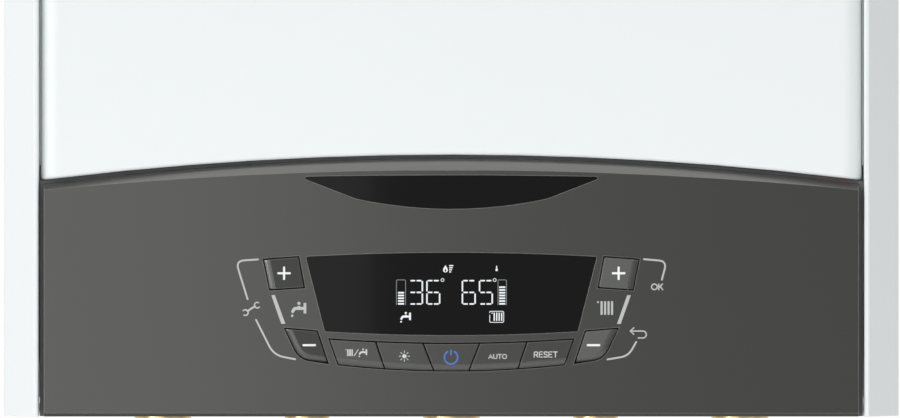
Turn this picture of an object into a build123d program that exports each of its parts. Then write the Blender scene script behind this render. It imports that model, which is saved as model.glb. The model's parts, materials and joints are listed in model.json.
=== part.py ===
from build123d import *
import math
import os

# Wall-hung condensing gas boiler, built from separate pieces.
# X runs to the right, the front faces -Y, and Z runs up. The wall is the plane Y = 0.
# Pieces are drawn with Z counted from the casing's bottom edge, and with "out" as their distance
# from the wall. Each is moved at the end so that the origin is midway between the two wall screws.

# Casing
casing_width = 400.0
casing_height = 745.0
casing_depth = 319.0
sheet = 1.2
seat_gap = 0.3
cut_overrun = 1.0

# Wall bracket
wall_screw_height = 712.0
wall_screw_spacing = 250.0
wall_slot_length = 20.0
wall_slot_width = 9.0
bracket_width = 330.0
bracket_sheet = 2.5
bracket_low = 692.0
bracket_high = 732.0
hook_spacing = 140.0
hook_width = 40.0
hook_reach = 15.0
hook_lip = 13.0
hook_seat = 703.0

# Rear frame
frame_stand = 10.0
frame_flange = 22.0
frame_corner = 6.0
window_side_gap = 1.5
window_lift_gap = 3.0
rib_spacing = 190.0
rib_width = 22.0
rib_low = 330.0
rib_high = 670.0
rib_rise = 3.0
spacer_spacing = 300.0
spacer_height = 80.0
spacer_root = 15.0
spacer_tip = 9.0

# Side panels
side_stand = 3.0
corner_width = 14.0
corner_depth = 24.5
nose_width = 2.2
lip_depth = 11.5
corner_bend = 4.0
nose_bend = 1.0
side_foot = 12.0
seam_gap = 0.9

# Front panel
panel_setback = 2.5
panel_depth = 26.0
panel_edge = 8.0
panel_foot_edge = 1.4
panel_hook_drop = 2.4
panel_screw_spacing = 240.0
panel_screw_setback = 17.5
panel_screw_radius = 1.9
panel_screw_head = 3.2
panel_screw_head_height = 1.0
panel_screw_length = 9.0
screw_play = 0.1

# Top panel
top_height = 736.5
top_lip_setback = 16.5
top_shoulder_gap = 4.5
top_lip_margin = 8.9
top_flange = 14.0

# Control panel fascia
fascia_side_gap = 1.5
fascia_end_height = 103.4
fascia_brow_height = 114.8
brow_gap = 1.8
fascia_corner = 0.8
fascia_wall = 2.5
fascia_skirt = 14.0
key_rise = 1.2
brow_bevel_end = 2.5
brow_bevel_middle = 5.1
brow_bevel_depth = 3.2
foot_bevel = 1.5
fascia_post = 3.5

# Badge plate
badge_tip = 67.9
badge_tip_height = 106.8
badge_top_height = 107.5
badge_shoulder = 42.7
badge_shoulder_height = 97.0
badge_foot_height = 92.4
badge_tip_round = 0.7
badge_thickness = 1.1
badge_recess = 0.25
badge_play = 0.3

# Display window
window_top_half = 64.8
window_top_height = 71.2
window_top_middle = 73.0
window_foot_half = 56.3
window_foot_height = 37.9
window_foot_middle = 36.2
window_round = 0.8
window_thickness = 1.1
window_recess = 0.15
window_play = 0.25
screen_half = 27.0
screen_low = 40.5
screen_high = 70.0

# Keys
key_gap = 0.45
key_depth = 8.0
key_flange = 1.0
key_flange_thickness = 1.2
key_travel = 0.8
key_bevel = 2.0
row_bevel = 2.4
row_top_half = 54.9
row_top_height = 34.9
row_top_middle = 32.9
row_foot_half = 50.6
row_foot_height = 22.8
row_foot_middle = 20.0
inner_divider_top = 13.5
inner_divider_foot = 7.6
outer_divider_top = 34.2
outer_divider_foot = 29.2
plus_outer_top = (84.0, 70.3)
plus_inner_top = (67.7, 71.5)
plus_inner_foot = (65.0, 57.1)
plus_outer_foot = (81.1, 56.0)
minus_outer_top = (74.8, 39.7)
minus_outer_foot = (67.98, 25.39)
minus_inner_foot = (54.4, 23.3)
minus_inner_top = (59.4, 38.4)
minus_round = 9.0

# Boards behind the fascia
board_thickness = 1.6
display_post_length = 11.3
display_board_half = 98.0
display_board_low = 14.0
display_board_high = 80.0
mat_sheet = 1.2
mat_margin = 4.0
mat_window_half = 40.0
mat_window_low = 38.0
dome_radius = 3.0
module_half = 34.0
module_low = 39.0
module_high = 77.0
module_step = 7.0
main_board_margin = 28.0
main_board_low = 18.0
main_board_high = 88.0
board_spacing = 39.0

# Control panel housing
rim_side_gap = 0.6
rim_width = 15.2
housing_low = 8.0
housing_high = 96.0
main_board_stand = 9.0
housing_wall = 2.0
housing_round = 6.0
rim_thickness = 3.0
rim_step = 1.0
rim_foot = 0.8
ear_thickness = 5.0
ear_radius = 8.0
pivot_setback = 10.0
pivot_height = 14.0
pin_radius = 3.0
pin_play = 0.05
pin_head_radius = 5.0
pin_head = 2.0
arm_sheet = 2.0
arm_gap = 0.4
cover_low = 24.0
cover_high = 82.0
cover_left = 70.0
cover_right = 110.0
cover_depth = 7.0
cover_wall = 1.5
gland_radius = 8.0
gland_height = 14.0
gland_groove = 1.5
gland_stand = 29.0
gland_places = (-128.0, -100.0)

# Lower frame and pipe tails
plate_height = 20.0
plate_sheet = 2.0
plate_front = 135.0
plate_flange = 14.0
arm_back = 60.0
tail_pitch = 67.0
tail_out = 75.0
tail_drop = 25.0
tail_shoulder = 3.0
tail_shoulder_height = 8.0
large_tail_radius = 13.2
large_tail_bore = 9.5
small_tail_radius = 10.45
small_tail_bore = 7.5
tail_play = 0.5

# Expansion vessel
vessel_margin = 28.5
vessel_height = 540.0
vessel_depth = 76.0
vessel_round = 24.0
vessel_rim = 5.0
vessel_rim_thickness = 4.0

# Heat exchanger and burner
drum_height = 500.0
drum_radius = 112.0
drum_back = 102.0
drum_front = 262.0
drum_wall = 3.0
drum_flange = 8.0
drum_flange_depth = 6.0
drum_rib = 3.0
drum_rib_count = 3
coil_radius = 88.0
coil_bore = 62.0
coil_turns = 4
coil_groove = 4.0
coil_margin = 12.0
drum_lug_height = 36.0
drum_lug_reach = 24.0
burner_radius = 34.0
burner_wall = 1.0
burner_depth = 110.0
door_depth = 8.0
duct_depth = 26.0
duct_width = 44.0
duct_hub_radius = 46.0
duct_round = 14.0
nut_count = 6
nut_size = 5.0
nut_depth = 6.0
electrode_radius = 2.0
electrode_length = 42.0
electrode_spread = 18.0
ceramic_radius = 4.5
ceramic_length = 16.0

# Fan
fan_margin = 21.5
fan_out = 205.0
fan_low = 322.0
fan_high = 374.0
fan_radius = 62.0
fan_wall = 2.5
fan_inlet_radius = 24.0
impeller_radius = 46.0
impeller_hub = 12.0
impeller_height = 26.0
impeller_plate = 2.0
impeller_gap = 6.0
impeller_blades = 12
blade_thickness = 1.6
blade_sweep = 12.0
blade_root = 20.0
motor_radius = 34.0
motor_height = 36.0
motor_shaft_radius = 4.0
shaft_play = 0.05

# Gas and air path
mixer_height = 46.0
mixer_radius = 30.0
mixer_waist = 21.0
valve_width = 62.0
valve_depth = 70.0
valve_height = 78.0
silencer_radius = 21.0
silencer_bore = 17.5
silencer_length = 75.0
flue_out = 158.0
flue_radius = 30.0
flue_wall = 2.0
flue_bell = 5.0
flue_bell_height = 26.0
collar_outer = 50.0
collar_inner = 30.2
collar_wall = 2.0
collar_rise = 55.0
collar_flange = 66.0
collar_flange_thickness = 4.0
collar_floor = 6.0

# Water side
pump_x = 128.0
pump_height = 190.0
pump_out = 150.0
pump_radius = 44.0
pump_depth = 40.0
pump_wall = 4.0
pump_motor_radius = 38.0
pump_motor_depth = 58.0
pump_motor_box = 70.0
pump_motor_box_depth = 22.0
pump_impeller_radius = 32.0
pump_impeller_depth = 14.0
pump_shaft_radius = 5.0
pump_blades = 6
stack_half = 92.0
stack_low = 62.0
stack_high = 128.0
stack_plates = 7
stack_plate = 3.2
stack_pitch = 4.8
stack_round = 16.0
manifold_radius = 18.0
manifold_top = 150.0
actuator_size = 44.0
actuator_height = 52.0
actuator_round = 5.0
spindle_radius = 3.0
spindle_length = 60.0
spindle_head = 7.0
spindle_head_height = 5.0
spindle_travel = 8.0
knob_radius = 17.0
knob_depth = 18.0
knob_lobes = 6
knob_notch = 4.0
filling_knob_radius = 14.0
filling_knob_height = 13.0
filling_stem_clearance = 12.0
filling_out = 110.0
turbine_radius = 8.0
turbine_height = 14.0
turbine_chamber_gap = 0.6
turbine_shaft = 1.5
turbine_blades = 4
turbine_blade = 1.2
trap_x = 40.0
trap_out = 205.0
trap_radius = 28.0
trap_low = 205.0
trap_high = 330.0
trap_outlet = 10.0
trap_outlet_foot = 30.0
pipe_radius = 9.0
pipe_wall = 1.0
pipe_bend = 22.0
gas_pipe_radius = 8.0

# Sizes that follow from the ones above
side_half = casing_width / 2
seam_half = side_half - corner_width - nose_width
panel_half = seam_half - seam_gap
inner_half = side_half - sheet
frame_half = inner_half - seat_gap
panel_out = casing_depth - panel_setback
fascia_out = casing_depth - key_rise
fascia_inside = fascia_out - fascia_wall
fascia_back = fascia_out - fascia_skirt
frame_face = frame_stand + sheet
plate_top = plate_height + plate_sheet
panel_end_height = fascia_end_height + brow_gap
panel_brow_height = fascia_brow_height + brow_gap
key_back = casing_depth - key_depth
panel_pivot_height = casing_height - sheet - seat_gap
panel_screw_out = panel_out - panel_screw_setback
top_front = panel_out - top_lip_setback
top_shoulder = panel_out - panel_depth - top_shoulder_gap
top_lip_half = panel_half - top_lip_margin
fascia_half = panel_half - fascia_side_gap
display_board_out = fascia_inside - display_post_length
main_board_out = display_board_out - board_spacing
housing_back = main_board_out - main_board_stand
pivot_out = housing_back - pivot_setback
gland_out = housing_back + gland_stand
rim_half = seam_half - rim_side_gap
housing_half = rim_half - rim_width
main_board_half = housing_half - main_board_margin
vessel_radius = frame_half - vessel_margin
fan_x = fan_radius + fan_margin - frame_half

BACK = (0, 1, 0)
UP = (0, 0, 1)


def block(x_span, out_span, z_span):
    """Box between two values of X, two distances out of the wall and two heights."""
    size = [abs(span[1] - span[0]) for span in (x_span, out_span, z_span)]
    middle = [(span[0] + span[1]) / 2 for span in (x_span, out_span, z_span)]
    return Pos(middle[0], -middle[1], middle[2]) * Box(*size)


def front_slab(face, out, thickness):
    """Front-view face, carried back towards the wall from a distance out of it."""
    return extrude(Plane.XZ.offset(out) * face, amount=thickness, dir=BACK)


def rise(face, low, height):
    """Plan-view face, carried up from a height."""
    return extrude(Plane.XY.offset(low) * face, amount=height, dir=UP)


def upright(radius, x, out, low, high):
    """Cylinder along Z."""
    return Pos(x, -out, (low + high) / 2) * Cylinder(radius, high - low)


def forward(radius, x, z, near, far):
    """Cylinder along Y, between two distances out of the wall."""
    return Pos(x, -(near + far) / 2, z) * Rot(90, 0, 0) * Cylinder(radius, far - near)


def across(radius, out, z, left, right):
    """Cylinder along X."""
    return Pos((left + right) / 2, -out, z) * Rot(0, 90, 0) * Cylinder(radius, right - left)


def mirrored(shape):
    """The same piece on the other side of the boiler."""
    return mirror(shape, about=Plane.YZ)


def group(pieces):
    """Several separate solids kept in one node."""
    return Compound(children=[solid for piece in pieces for solid in piece.solids()])


def arched(half_top, end_height, middle_height, foot_points):
    """Front-view face with an arched top edge, closed by straight lines through the foot points."""
    top = ThreePointArc((-half_top, end_height), (0, middle_height), (half_top, end_height))
    rest = Polyline((half_top, end_height), *foot_points, (-half_top, end_height))
    return make_face([top, rest])


def arc_height(x, half, end_height, middle_height):
    """Height of an arched edge at a distance from the middle."""
    sagitta = middle_height - end_height
    arc_radius = (half ** 2 + sagitta ** 2) / (2 * sagitta)
    return middle_height - arc_radius + math.sqrt(arc_radius ** 2 - x ** 2)


def pipe(points, radius, bend):
    """Solid round bar along straight runs joined by tangent bends."""
    path = FilletPolyline(*points, radius=bend)
    start = Plane(origin=path @ 0, z_dir=path % 0)
    return sweep(start * Circle(radius), path=path)


def ring(centre_x, centre_out, outer, inner, low, height):
    """Upright tube."""
    return rise(Pos(centre_x, -centre_out) * (Circle(outer) - Circle(inner)), low, height)


def wall_bracket():
    """Steel bar for two wall screws, with two hooks that carry the rear frame."""
    half = bracket_width / 2
    bar = block((-half, half), (0, bracket_sheet), (bracket_low, bracket_high))
    slot = SlotOverall(wall_slot_length, wall_slot_width)
    for side in (-1, 1):
        place = Pos(side * wall_screw_spacing / 2, wall_screw_height)
        bar -= front_slab(place * slot, bracket_sheet + cut_overrun, bracket_sheet + 2 * cut_overrun)
        middle = side * hook_spacing / 2
        span = (middle - hook_width / 2, middle + hook_width / 2)
        bar += block(span, (0, hook_reach), (hook_seat - bracket_sheet, hook_seat))
        lip = (hook_reach - bracket_sheet, hook_reach)
        bar += block(span, lip, (hook_seat - bracket_sheet, hook_seat + hook_lip))
    return bar


def rear_frame():
    """Folded sheet back with flanges, pressed ribs, hook windows and two wall spacers."""
    height = top_height - plate_top
    middle = Pos(0, (top_height + plate_top) / 2)
    outline = middle * RectangleRounded(2 * frame_half, height, frame_corner)
    hollow = middle * RectangleRounded(2 * (frame_half - sheet), height - 2 * sheet, frame_corner - sheet)
    frame = front_slab(outline, frame_stand + frame_flange, frame_flange)
    frame -= front_slab(hollow, frame_stand + frame_flange + cut_overrun, frame_flange + cut_overrun - sheet)
    rib_height = (rib_low + rib_high) / 2
    rib_length = rib_high - rib_low
    for side in (-1, 1):
        rib_place = Pos(side * rib_spacing / 2, rib_height) * Rot(0, 0, 90)
        press = rib_place * SlotOverall(rib_length - 2 * sheet, rib_width - 2 * sheet)
        frame += front_slab(rib_place * SlotOverall(rib_length, rib_width), frame_face + rib_rise, rib_rise)
        frame -= front_slab(press, frame_stand + rib_rise, rib_rise + cut_overrun)
        hook_middle = side * hook_spacing / 2
        reach = hook_width / 2 + window_side_gap
        window_low = hook_seat - bracket_sheet - hook_lip - window_lift_gap
        through = (frame_stand - cut_overrun, frame_face + cut_overrun)
        frame -= block((hook_middle - reach, hook_middle + reach), through, (window_low, hook_seat))
        foot = Plane(origin=(side * spacer_spacing / 2, -frame_stand / 2, spacer_height), z_dir=BACK)
        frame += foot * Cone(spacer_root, spacer_tip, frame_stand)
    return frame


def side_panel():
    """Right side panel: folded sheet with a slanted front corner, a narrow nose and a lip."""
    path = FilletPolyline(
        (side_half, -side_stand),
        (side_half, -(panel_out - corner_depth)),
        (seam_half + nose_width, -panel_out),
        (seam_half, -panel_out),
        (seam_half, -(panel_out - lip_depth)),
        radius=[corner_bend, nose_bend, nose_bend],
    )
    skin = rise(make_face(offset(path, amount=sheet, side=Side.RIGHT)), 0, casing_height)
    for low in (0, casing_height - sheet):
        inset = (inner_half - side_foot, inner_half)
        skin += block(inset, (side_stand, panel_out - corner_depth - corner_bend), (low, low + sheet))
    return skin


def top_panel():
    """Roof sheet with side flanges, the flue opening and the lip that the front panel hangs on."""
    high = top_height + sheet
    roof = block((-frame_half, frame_half), (frame_stand, top_shoulder), (top_height, high))
    roof += block((-top_lip_half, top_lip_half), (top_shoulder, top_front), (top_height, high))
    lip = (top_front - sheet, top_front)
    roof += block((-top_lip_half, top_lip_half), lip, (top_height, panel_pivot_height))
    flange_span = (frame_stand + frame_flange + seat_gap, top_shoulder)
    for side in (-1, 1):
        edge = (side * frame_half, side * (frame_half - sheet))
        roof += block(edge, flange_span, (top_height - top_flange, top_height))
    opening = collar_outer + cut_overrun
    return roof - upright(opening, 0, flue_out, top_height - cut_overrun, high + cut_overrun)


def tail_places():
    """Middle of each pipe tail: flow, hot water, gas, cold water and return, from left to right."""
    return [(step * tail_pitch, tail_out) for step in (-2, -1, 0, 1, 2)]


def lower_frame():
    """Bottom plate for the pipe tails, with two arms that carry the control panel's hinge pins."""
    plate = block((-frame_half, frame_half), (frame_stand, plate_front), (plate_height, plate_top))
    front_edge = (plate_front - plate_sheet, plate_front)
    plate += block((-frame_half, frame_half), front_edge, (plate_height - plate_flange, plate_top))
    low = pivot_height - ear_radius
    for side in (-1, 1):
        inner = side * (housing_half + arm_gap)
        outer = side * (housing_half + arm_gap + arm_sheet)
        span = (min(inner, outer), max(inner, outer))
        plate += block(span, (arm_back, pivot_out), (low, plate_top))
        plate += across(ear_radius, pivot_out, pivot_height, *span)
        through = (span[0] - cut_overrun, span[1] + cut_overrun)
        plate -= across(pin_radius + pin_play, pivot_out, pivot_height, *through)
    stem = pump_shaft_radius + tail_play
    plate -= upright(stem, filling_x(), filling_out, plate_height - cut_overrun, plate_top + cut_overrun)
    for number, (x, out) in enumerate(tail_places()):
        radius = large_tail_radius if number % 2 == 0 else small_tail_radius
        plate -= upright(radius + tail_play, x, out, plate_height - cut_overrun, plate_top + cut_overrun)
    return plate


def panel_form(inset):
    """Outer form of the front panel, or its hollow when drawn in by the sheet."""
    half = panel_half - inset
    high = casing_height - inset
    low = panel_end_height + inset
    foot = ThreePointArc((-half, low), (0, panel_brow_height + inset), (half, low))
    sides = Polyline((half, low), (half, high), (-half, high), (-half, low))
    depth = panel_depth if inset == 0 else panel_depth + cut_overrun
    form = front_slab(make_face([foot, sides]), panel_out - inset, depth)
    front = form.faces().sort_by(Axis.Y)[0]
    foot_edge = front.edges().sort_by(Axis.Z)[0]
    form = fillet(front.edges() - [foot_edge], panel_edge - inset)
    front = form.faces().sort_by(Axis.Y)[0]
    return fillet(front.edges().sort_by(Axis.Z)[0], max(panel_foot_edge - inset, inset / 4))


def front_panel():
    """Tray of white sheet with rounded edges, an arched foot and a hooked top return."""
    panel = panel_form(0) - panel_form(sheet)
    back = panel_out - panel_depth
    drop = (casing_height - sheet - panel_hook_drop, casing_height - sheet)
    panel += block((-top_lip_half, top_lip_half), (back, back + sheet), drop)
    for side in (-1, 1):
        x = side * panel_screw_spacing / 2
        hole_top = panel_brow_height + panel_screw_length
        panel -= upright(panel_screw_radius + screw_play, x, panel_screw_out, panel_end_height, hole_top)
    return panel


def front_panel_screws():
    """Two captive screws with domed, slotted heads under the front panel's foot."""
    screws = []
    for side in (-1, 1):
        x = side * panel_screw_spacing / 2
        edge = abs(x) + panel_screw_head
        seat = arc_height(edge, panel_half, panel_end_height, panel_brow_height) - screw_play
        screw = upright(panel_screw_head, x, panel_screw_out, seat - panel_screw_head_height, seat)
        screw = chamfer(screw.edges().sort_by(Axis.Z)[0], panel_screw_head_height / 2)
        screw += upright(panel_screw_radius, x, panel_screw_out, seat, seat + panel_screw_length)
        screws.append(screw)
    return group(screws)


def above_arc(half, end_height, middle_height):
    """Front-view region above an arc, wider and higher than the fascia."""
    wide = half + cut_overrun
    edge = arc_height(wide, half, end_height, middle_height)
    high = fascia_brow_height + cut_overrun
    arc = ThreePointArc((-wide, edge), (0, middle_height), (wide, edge))
    return make_face([arc, Polyline((wide, edge), (wide, high), (-wide, high), (-wide, edge))])


def brow_cutter():
    """Wedge whose underside is the crescent bevel along the fascia's arched top."""
    low_end = fascia_end_height - brow_bevel_end
    low_middle = fascia_brow_height - brow_bevel_middle
    near = Plane.XZ.offset(fascia_out) * above_arc(fascia_half, low_end, low_middle)
    deep = Plane.XZ.offset(fascia_out - brow_bevel_depth) * above_arc(
        fascia_half, fascia_end_height, fascia_brow_height
    )
    return loft([near, deep], ruled=True)


def fascia_outline():
    """Front-view outline of the fascia, with its arched brow and tight upper corners."""
    foot = [(fascia_half, 0), (-fascia_half, 0)]
    outline = arched(fascia_half, fascia_end_height, fascia_brow_height, foot)
    return fillet(outline.vertices().group_by(Axis.Y)[-1], fascia_corner)


def badge_outline():
    """Front-view outline of the badge plate: a shallow arc above, a deep arc with straight flanks below."""
    left_tip = (-badge_tip, badge_tip_height)
    right_tip = (badge_tip, badge_tip_height)
    left_shoulder = (-badge_shoulder, badge_shoulder_height)
    right_shoulder = (badge_shoulder, badge_shoulder_height)
    top = ThreePointArc(left_tip, (0, badge_top_height), right_tip)
    right = Line(right_tip, right_shoulder)
    foot = ThreePointArc(right_shoulder, (0, badge_foot_height), left_shoulder)
    left = Line(left_shoulder, left_tip)
    outline = make_face([top, right, foot, left])
    return fillet(outline.vertices().group_by(Axis.Y)[-1], badge_tip_round)


def arched_four(top, foot):
    """Front-view face between two arcs, each given as half width, end height and middle height."""
    over = ThreePointArc((-top[0], top[1]), (0, top[2]), (top[0], top[1]))
    under = ThreePointArc((foot[0], foot[1]), (0, foot[2]), (-foot[0], foot[1]))
    right = Line((top[0], top[1]), (foot[0], foot[1]))
    left = Line((-foot[0], foot[1]), (-top[0], top[1]))
    return make_face([over, right, under, left])


def window_outline():
    """Front-view outline of the display window."""
    outline = arched_four(
        (window_top_half, window_top_height, window_top_middle),
        (window_foot_half, window_foot_height, window_foot_middle),
    )
    return fillet(outline.vertices(), window_round)


def row_outline(lift=0):
    """Outline of the opening for the five keys below the display, with its foot raised by a lift."""
    return arched_four(
        (row_top_half, row_top_height, row_top_middle),
        (row_foot_half, row_foot_height + lift, row_foot_middle + lift),
    )


def row_faces(grow, lift=0):
    """Outlines of the five keys from left to right, grown or drawn in, and parted by the dividers."""
    faces = offset(row_outline(lift), amount=grow)
    lean_share = 0.4
    half = key_gap / 2
    tops = (-outer_divider_top, -inner_divider_top, inner_divider_top, outer_divider_top)
    feet = (-outer_divider_foot, -inner_divider_foot, inner_divider_foot, outer_divider_foot)
    fall = row_top_height - row_foot_middle
    for top, foot in zip(tops, feet):
        lean = (top - foot) * lean_share
        high = row_top_height + fall * lean_share
        low = row_foot_middle - fall * lean_share
        above = top + lean
        below = foot - lean
        corners = [(above - half, high), (above + half, high), (below + half, low), (below - half, low)]
        faces -= make_face(Polyline(*corners, close=True))
    return faces.faces().sort_by(Axis.X)


def toward(start, finish, distance):
    """Point at a distance from one point on the way to another."""
    share = distance / math.dist(start, finish)
    return (start[0] + (finish[0] - start[0]) * share, start[1] + (finish[1] - start[1]) * share)


def plus_face(grow, bevel=0):
    """Outline of the right plus key, with its outer side drawn in by a bevel."""
    outer_top = toward(plus_outer_top, plus_inner_top, bevel)
    outer_foot = toward(plus_outer_foot, plus_inner_foot, bevel)
    face = make_face(Polyline(outer_top, plus_inner_top, plus_inner_foot, outer_foot, close=True))
    return offset(face, amount=grow, kind=Kind.INTERSECTION).faces()[0]


def minus_face(grow, bevel=0):
    """Outline of the right minus key, with its rounded outer and lower sides drawn in by a bevel."""
    outer_top = toward(minus_outer_top, minus_inner_top, bevel)
    inner_foot = toward(minus_inner_foot, minus_inner_top, bevel)
    along = toward(minus_outer_foot, minus_inner_foot, bevel)
    up = toward(minus_outer_foot, minus_outer_top, bevel)
    outer_foot = (along[0] + up[0] - minus_outer_foot[0], along[1] + up[1] - minus_outer_foot[1])
    face = make_face(Polyline(outer_top, minus_inner_top, inner_foot, outer_foot, close=True))
    face = offset(face, amount=grow, kind=Kind.INTERSECTION)
    corner = face.vertices().sort_by_distance((outer_foot[0], outer_foot[1], 0))[0]
    return fillet(corner, minus_round - bevel + grow).faces()[0]


def key_names():
    """Names of the nine keys: the row of five, then the right pair and the left pair."""
    row = ["mode_key", "comfort_key", "power_key", "auto_key", "reset_key"]
    return row + ["heating_plus_key", "heating_minus_key", "hot_water_plus_key", "hot_water_minus_key"]


def key_faces(grow, bevel=0, lift=0):
    """Outlines of all nine keys in the order of their names."""
    right = [plus_face(grow, bevel), minus_face(grow, bevel)]
    return row_faces(grow, lift) + right + [mirrored(face) for face in right]


def fascia():
    """Moulded front of the control panel: arched brow, crescent bevel, recesses, key openings and posts."""
    outline = fascia_outline()
    shell = front_slab(outline, fascia_out, fascia_skirt)
    shell = chamfer(shell.faces().sort_by(Axis.Y)[0].edges().sort_by(Axis.Z)[0], foot_bevel)
    shell -= brow_cutter()
    hollow = offset(outline, amount=-fascia_wall)
    shell -= front_slab(hollow, fascia_inside, fascia_skirt)
    front = fascia_out + cut_overrun
    shell -= front_slab(badge_outline(), front, badge_thickness + badge_recess + cut_overrun)
    shell -= front_slab(window_outline(), front, window_thickness + window_recess + cut_overrun)
    through = fascia_wall + 2 * cut_overrun
    right = [plus_face(0), minus_face(0)]
    for face in [row_outline(), *right, *[mirrored(face) for face in right]]:
        shell -= front_slab(face, front, through)
    depth = (fascia_inside - cut_overrun, fascia_out)
    shell -= block((-screen_half, screen_half), depth, (screen_low, screen_high))
    for x, z in board_posts():
        shell += forward(fascia_post, x, z, display_board_out, fascia_inside)
    return shell


def board_posts():
    """Four corners at which the display board meets the fascia's posts."""
    x = display_board_half - fascia_post
    heights = (display_board_low + fascia_post, display_board_high - fascia_post)
    return [(side * x, height) for side in (-1, 1) for height in heights]


def badge_plate():
    """Bare gloss plate that fills the badge recess."""
    outline = offset(badge_outline(), amount=-badge_play)
    return front_slab(outline, fascia_out - badge_recess, badge_thickness)


def display_window():
    """Gloss window plate over the display."""
    outline = offset(window_outline(), amount=-window_play)
    return front_slab(outline, fascia_out - window_recess, window_thickness)


def keys():
    """Nine key caps, each with a raised bevelled head, a guide stem and a flange behind the fascia."""
    bases = key_faces(-key_gap)
    heads = key_faces(-key_gap, bevel=key_bevel, lift=row_bevel)
    flanges = key_faces(key_flange - key_gap)
    caps = {}
    for name, base, head, flange in zip(key_names(), bases, heads, flanges):
        cap = front_slab(base, fascia_out, fascia_out - key_back)
        cap += loft([Plane.XZ.offset(fascia_out) * base, Plane.XZ.offset(casing_depth) * head], ruled=True)
        cap += front_slab(flange, fascia_inside - seat_gap, key_flange_thickness)
        caps[name] = cap
    return caps


def keypad_mat():
    """Silicone mat with one dome under each key, open round the display module."""
    half = display_board_half - 2 * fascia_post - mat_margin / 2
    low = display_board_low + mat_margin
    high = display_board_high - mat_margin
    front = display_board_out + mat_sheet
    mat = block((-half, half), (display_board_out, front), (low, high))
    through = (display_board_out - cut_overrun, front + cut_overrun)
    mat -= block((-mat_window_half, mat_window_half), through, (mat_window_low, high + cut_overrun))
    for face in key_faces(-key_gap):
        middle = face.center()
        mat += forward(dome_radius, middle.X, middle.Y, front, key_back - key_travel - seat_gap)
    return mat


def display_board():
    """Board that carries the keypad mat and the display module."""
    span = (display_board_out - board_thickness, display_board_out)
    return block((-display_board_half, display_board_half), span, (display_board_low, display_board_high))


def display_module():
    """Display frame on the board, with its glass stepped forward into the fascia's opening."""
    front = display_board_out + module_step
    glass_front = fascia_out - window_recess - window_thickness - seat_gap
    module = block((-module_half, module_half), (display_board_out, front), (module_low, module_high))
    glass_half = screen_half - seat_gap
    heights = (screen_low + seat_gap, screen_high - seat_gap)
    glass = block((-glass_half, glass_half), (front, glass_front), heights)
    return module + glass


def housing_outline(inset):
    """Rounded front-view outline of the control panel housing."""
    width = 2 * (housing_half - inset)
    height = housing_high - housing_low - 2 * inset
    return Pos(0, (housing_high + housing_low) / 2) * RectangleRounded(width, height, housing_round - inset)


def main_board_posts():
    """Four corners at which the main board stands on the housing's posts."""
    x = main_board_half - fascia_post
    heights = (main_board_low + fascia_post, main_board_high - fascia_post)
    return [(side * x, height) for side in (-1, 1) for height in heights]


def control_housing():
    """Rear shell of the control panel, with its rim behind the fascia, board posts and hinge ears."""
    top = (rim_half, fascia_end_height - rim_step, fascia_brow_height - rim_step)
    rim = arched(*top, [(rim_half, rim_foot), (-rim_half, rim_foot)])
    shell = front_slab(rim, fascia_back, rim_thickness)
    shell += front_slab(housing_outline(0), fascia_back, fascia_back - housing_back)
    floor = housing_back + housing_wall
    mouth = fascia_back + cut_overrun
    shell -= front_slab(housing_outline(housing_wall), mouth, mouth - floor)
    for x, z in main_board_posts():
        shell += forward(fascia_post, x, z, floor, main_board_out - board_thickness)
    for side in (-1, 1):
        edges = (side * (housing_half - ear_thickness), side * housing_half)
        span = (min(edges), max(edges))
        shell += block(span, (pivot_out, floor), (pivot_height - ear_radius, pivot_height + ear_radius))
        shell += across(ear_radius, pivot_out, pivot_height, *span)
        through = (span[0] - cut_overrun, span[1] + cut_overrun)
        shell -= across(pin_radius + pin_play, pivot_out, pivot_height, *through)
    hole = gland_radius - gland_groove + screw_play
    for x in gland_places:
        shell -= upright(hole, x, gland_out, rim_foot, housing_low + housing_wall + cut_overrun)
    return shell


def control_rear_cover():
    """Clip-on cover over the wiring terminals at the back of the housing."""
    width = cover_left + cover_right
    height = cover_high - cover_low
    middle = Pos((cover_right - cover_left) / 2, (cover_low + cover_high) / 2)
    outer = middle * RectangleRounded(width, height, housing_round)
    walls = 2 * cover_wall
    inner = middle * RectangleRounded(width - walls, height - walls, housing_round - cover_wall)
    cover = front_slab(outer, housing_back, cover_depth)
    return cover - front_slab(inner, housing_back + cut_overrun, cover_depth + cut_overrun - cover_wall)


def main_board():
    """Main electronic board with its transformer, relays, capacitors and terminal row."""
    span = (main_board_out - board_thickness, main_board_out)
    board = block((-main_board_half, main_board_half), span, (main_board_low, main_board_high))
    width = 2 * main_board_half
    height = main_board_high - main_board_low
    depth = display_board_out - board_thickness - main_board_out
    part_shares = [
        (-0.42, 0.30, 0.12, 0.46, 0.78),
        (-0.26, 0.40, 0.07, 0.26, 0.45),
        (-0.16, 0.40, 0.07, 0.26, 0.45),
        (0.02, 0.62, 0.16, 0.20, 0.20),
        (0.30, 0.84, 0.34, 0.14, 0.35),
        (0.24, 0.16, 0.48, 0.16, 0.38),
    ]
    for x_share, z_share, width_share, height_share, depth_share in part_shares:
        x = x_share * width
        z = main_board_low + z_share * height
        half_width = width_share * width / 2
        half_height = height_share * height / 2
        reach = (main_board_out, main_board_out + depth_share * depth)
        board += block((x - half_width, x + half_width), reach, (z - half_height, z + half_height))
    can_shares = [(0.20, 0.5), (0.27, 0.5), (0.34, 0.5)]
    can_radius = height / 10
    for x_share, z_share in can_shares:
        z = main_board_low + z_share * height
        board += forward(can_radius, x_share * width, z, main_board_out, main_board_out + depth / 2)
    return board


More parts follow.
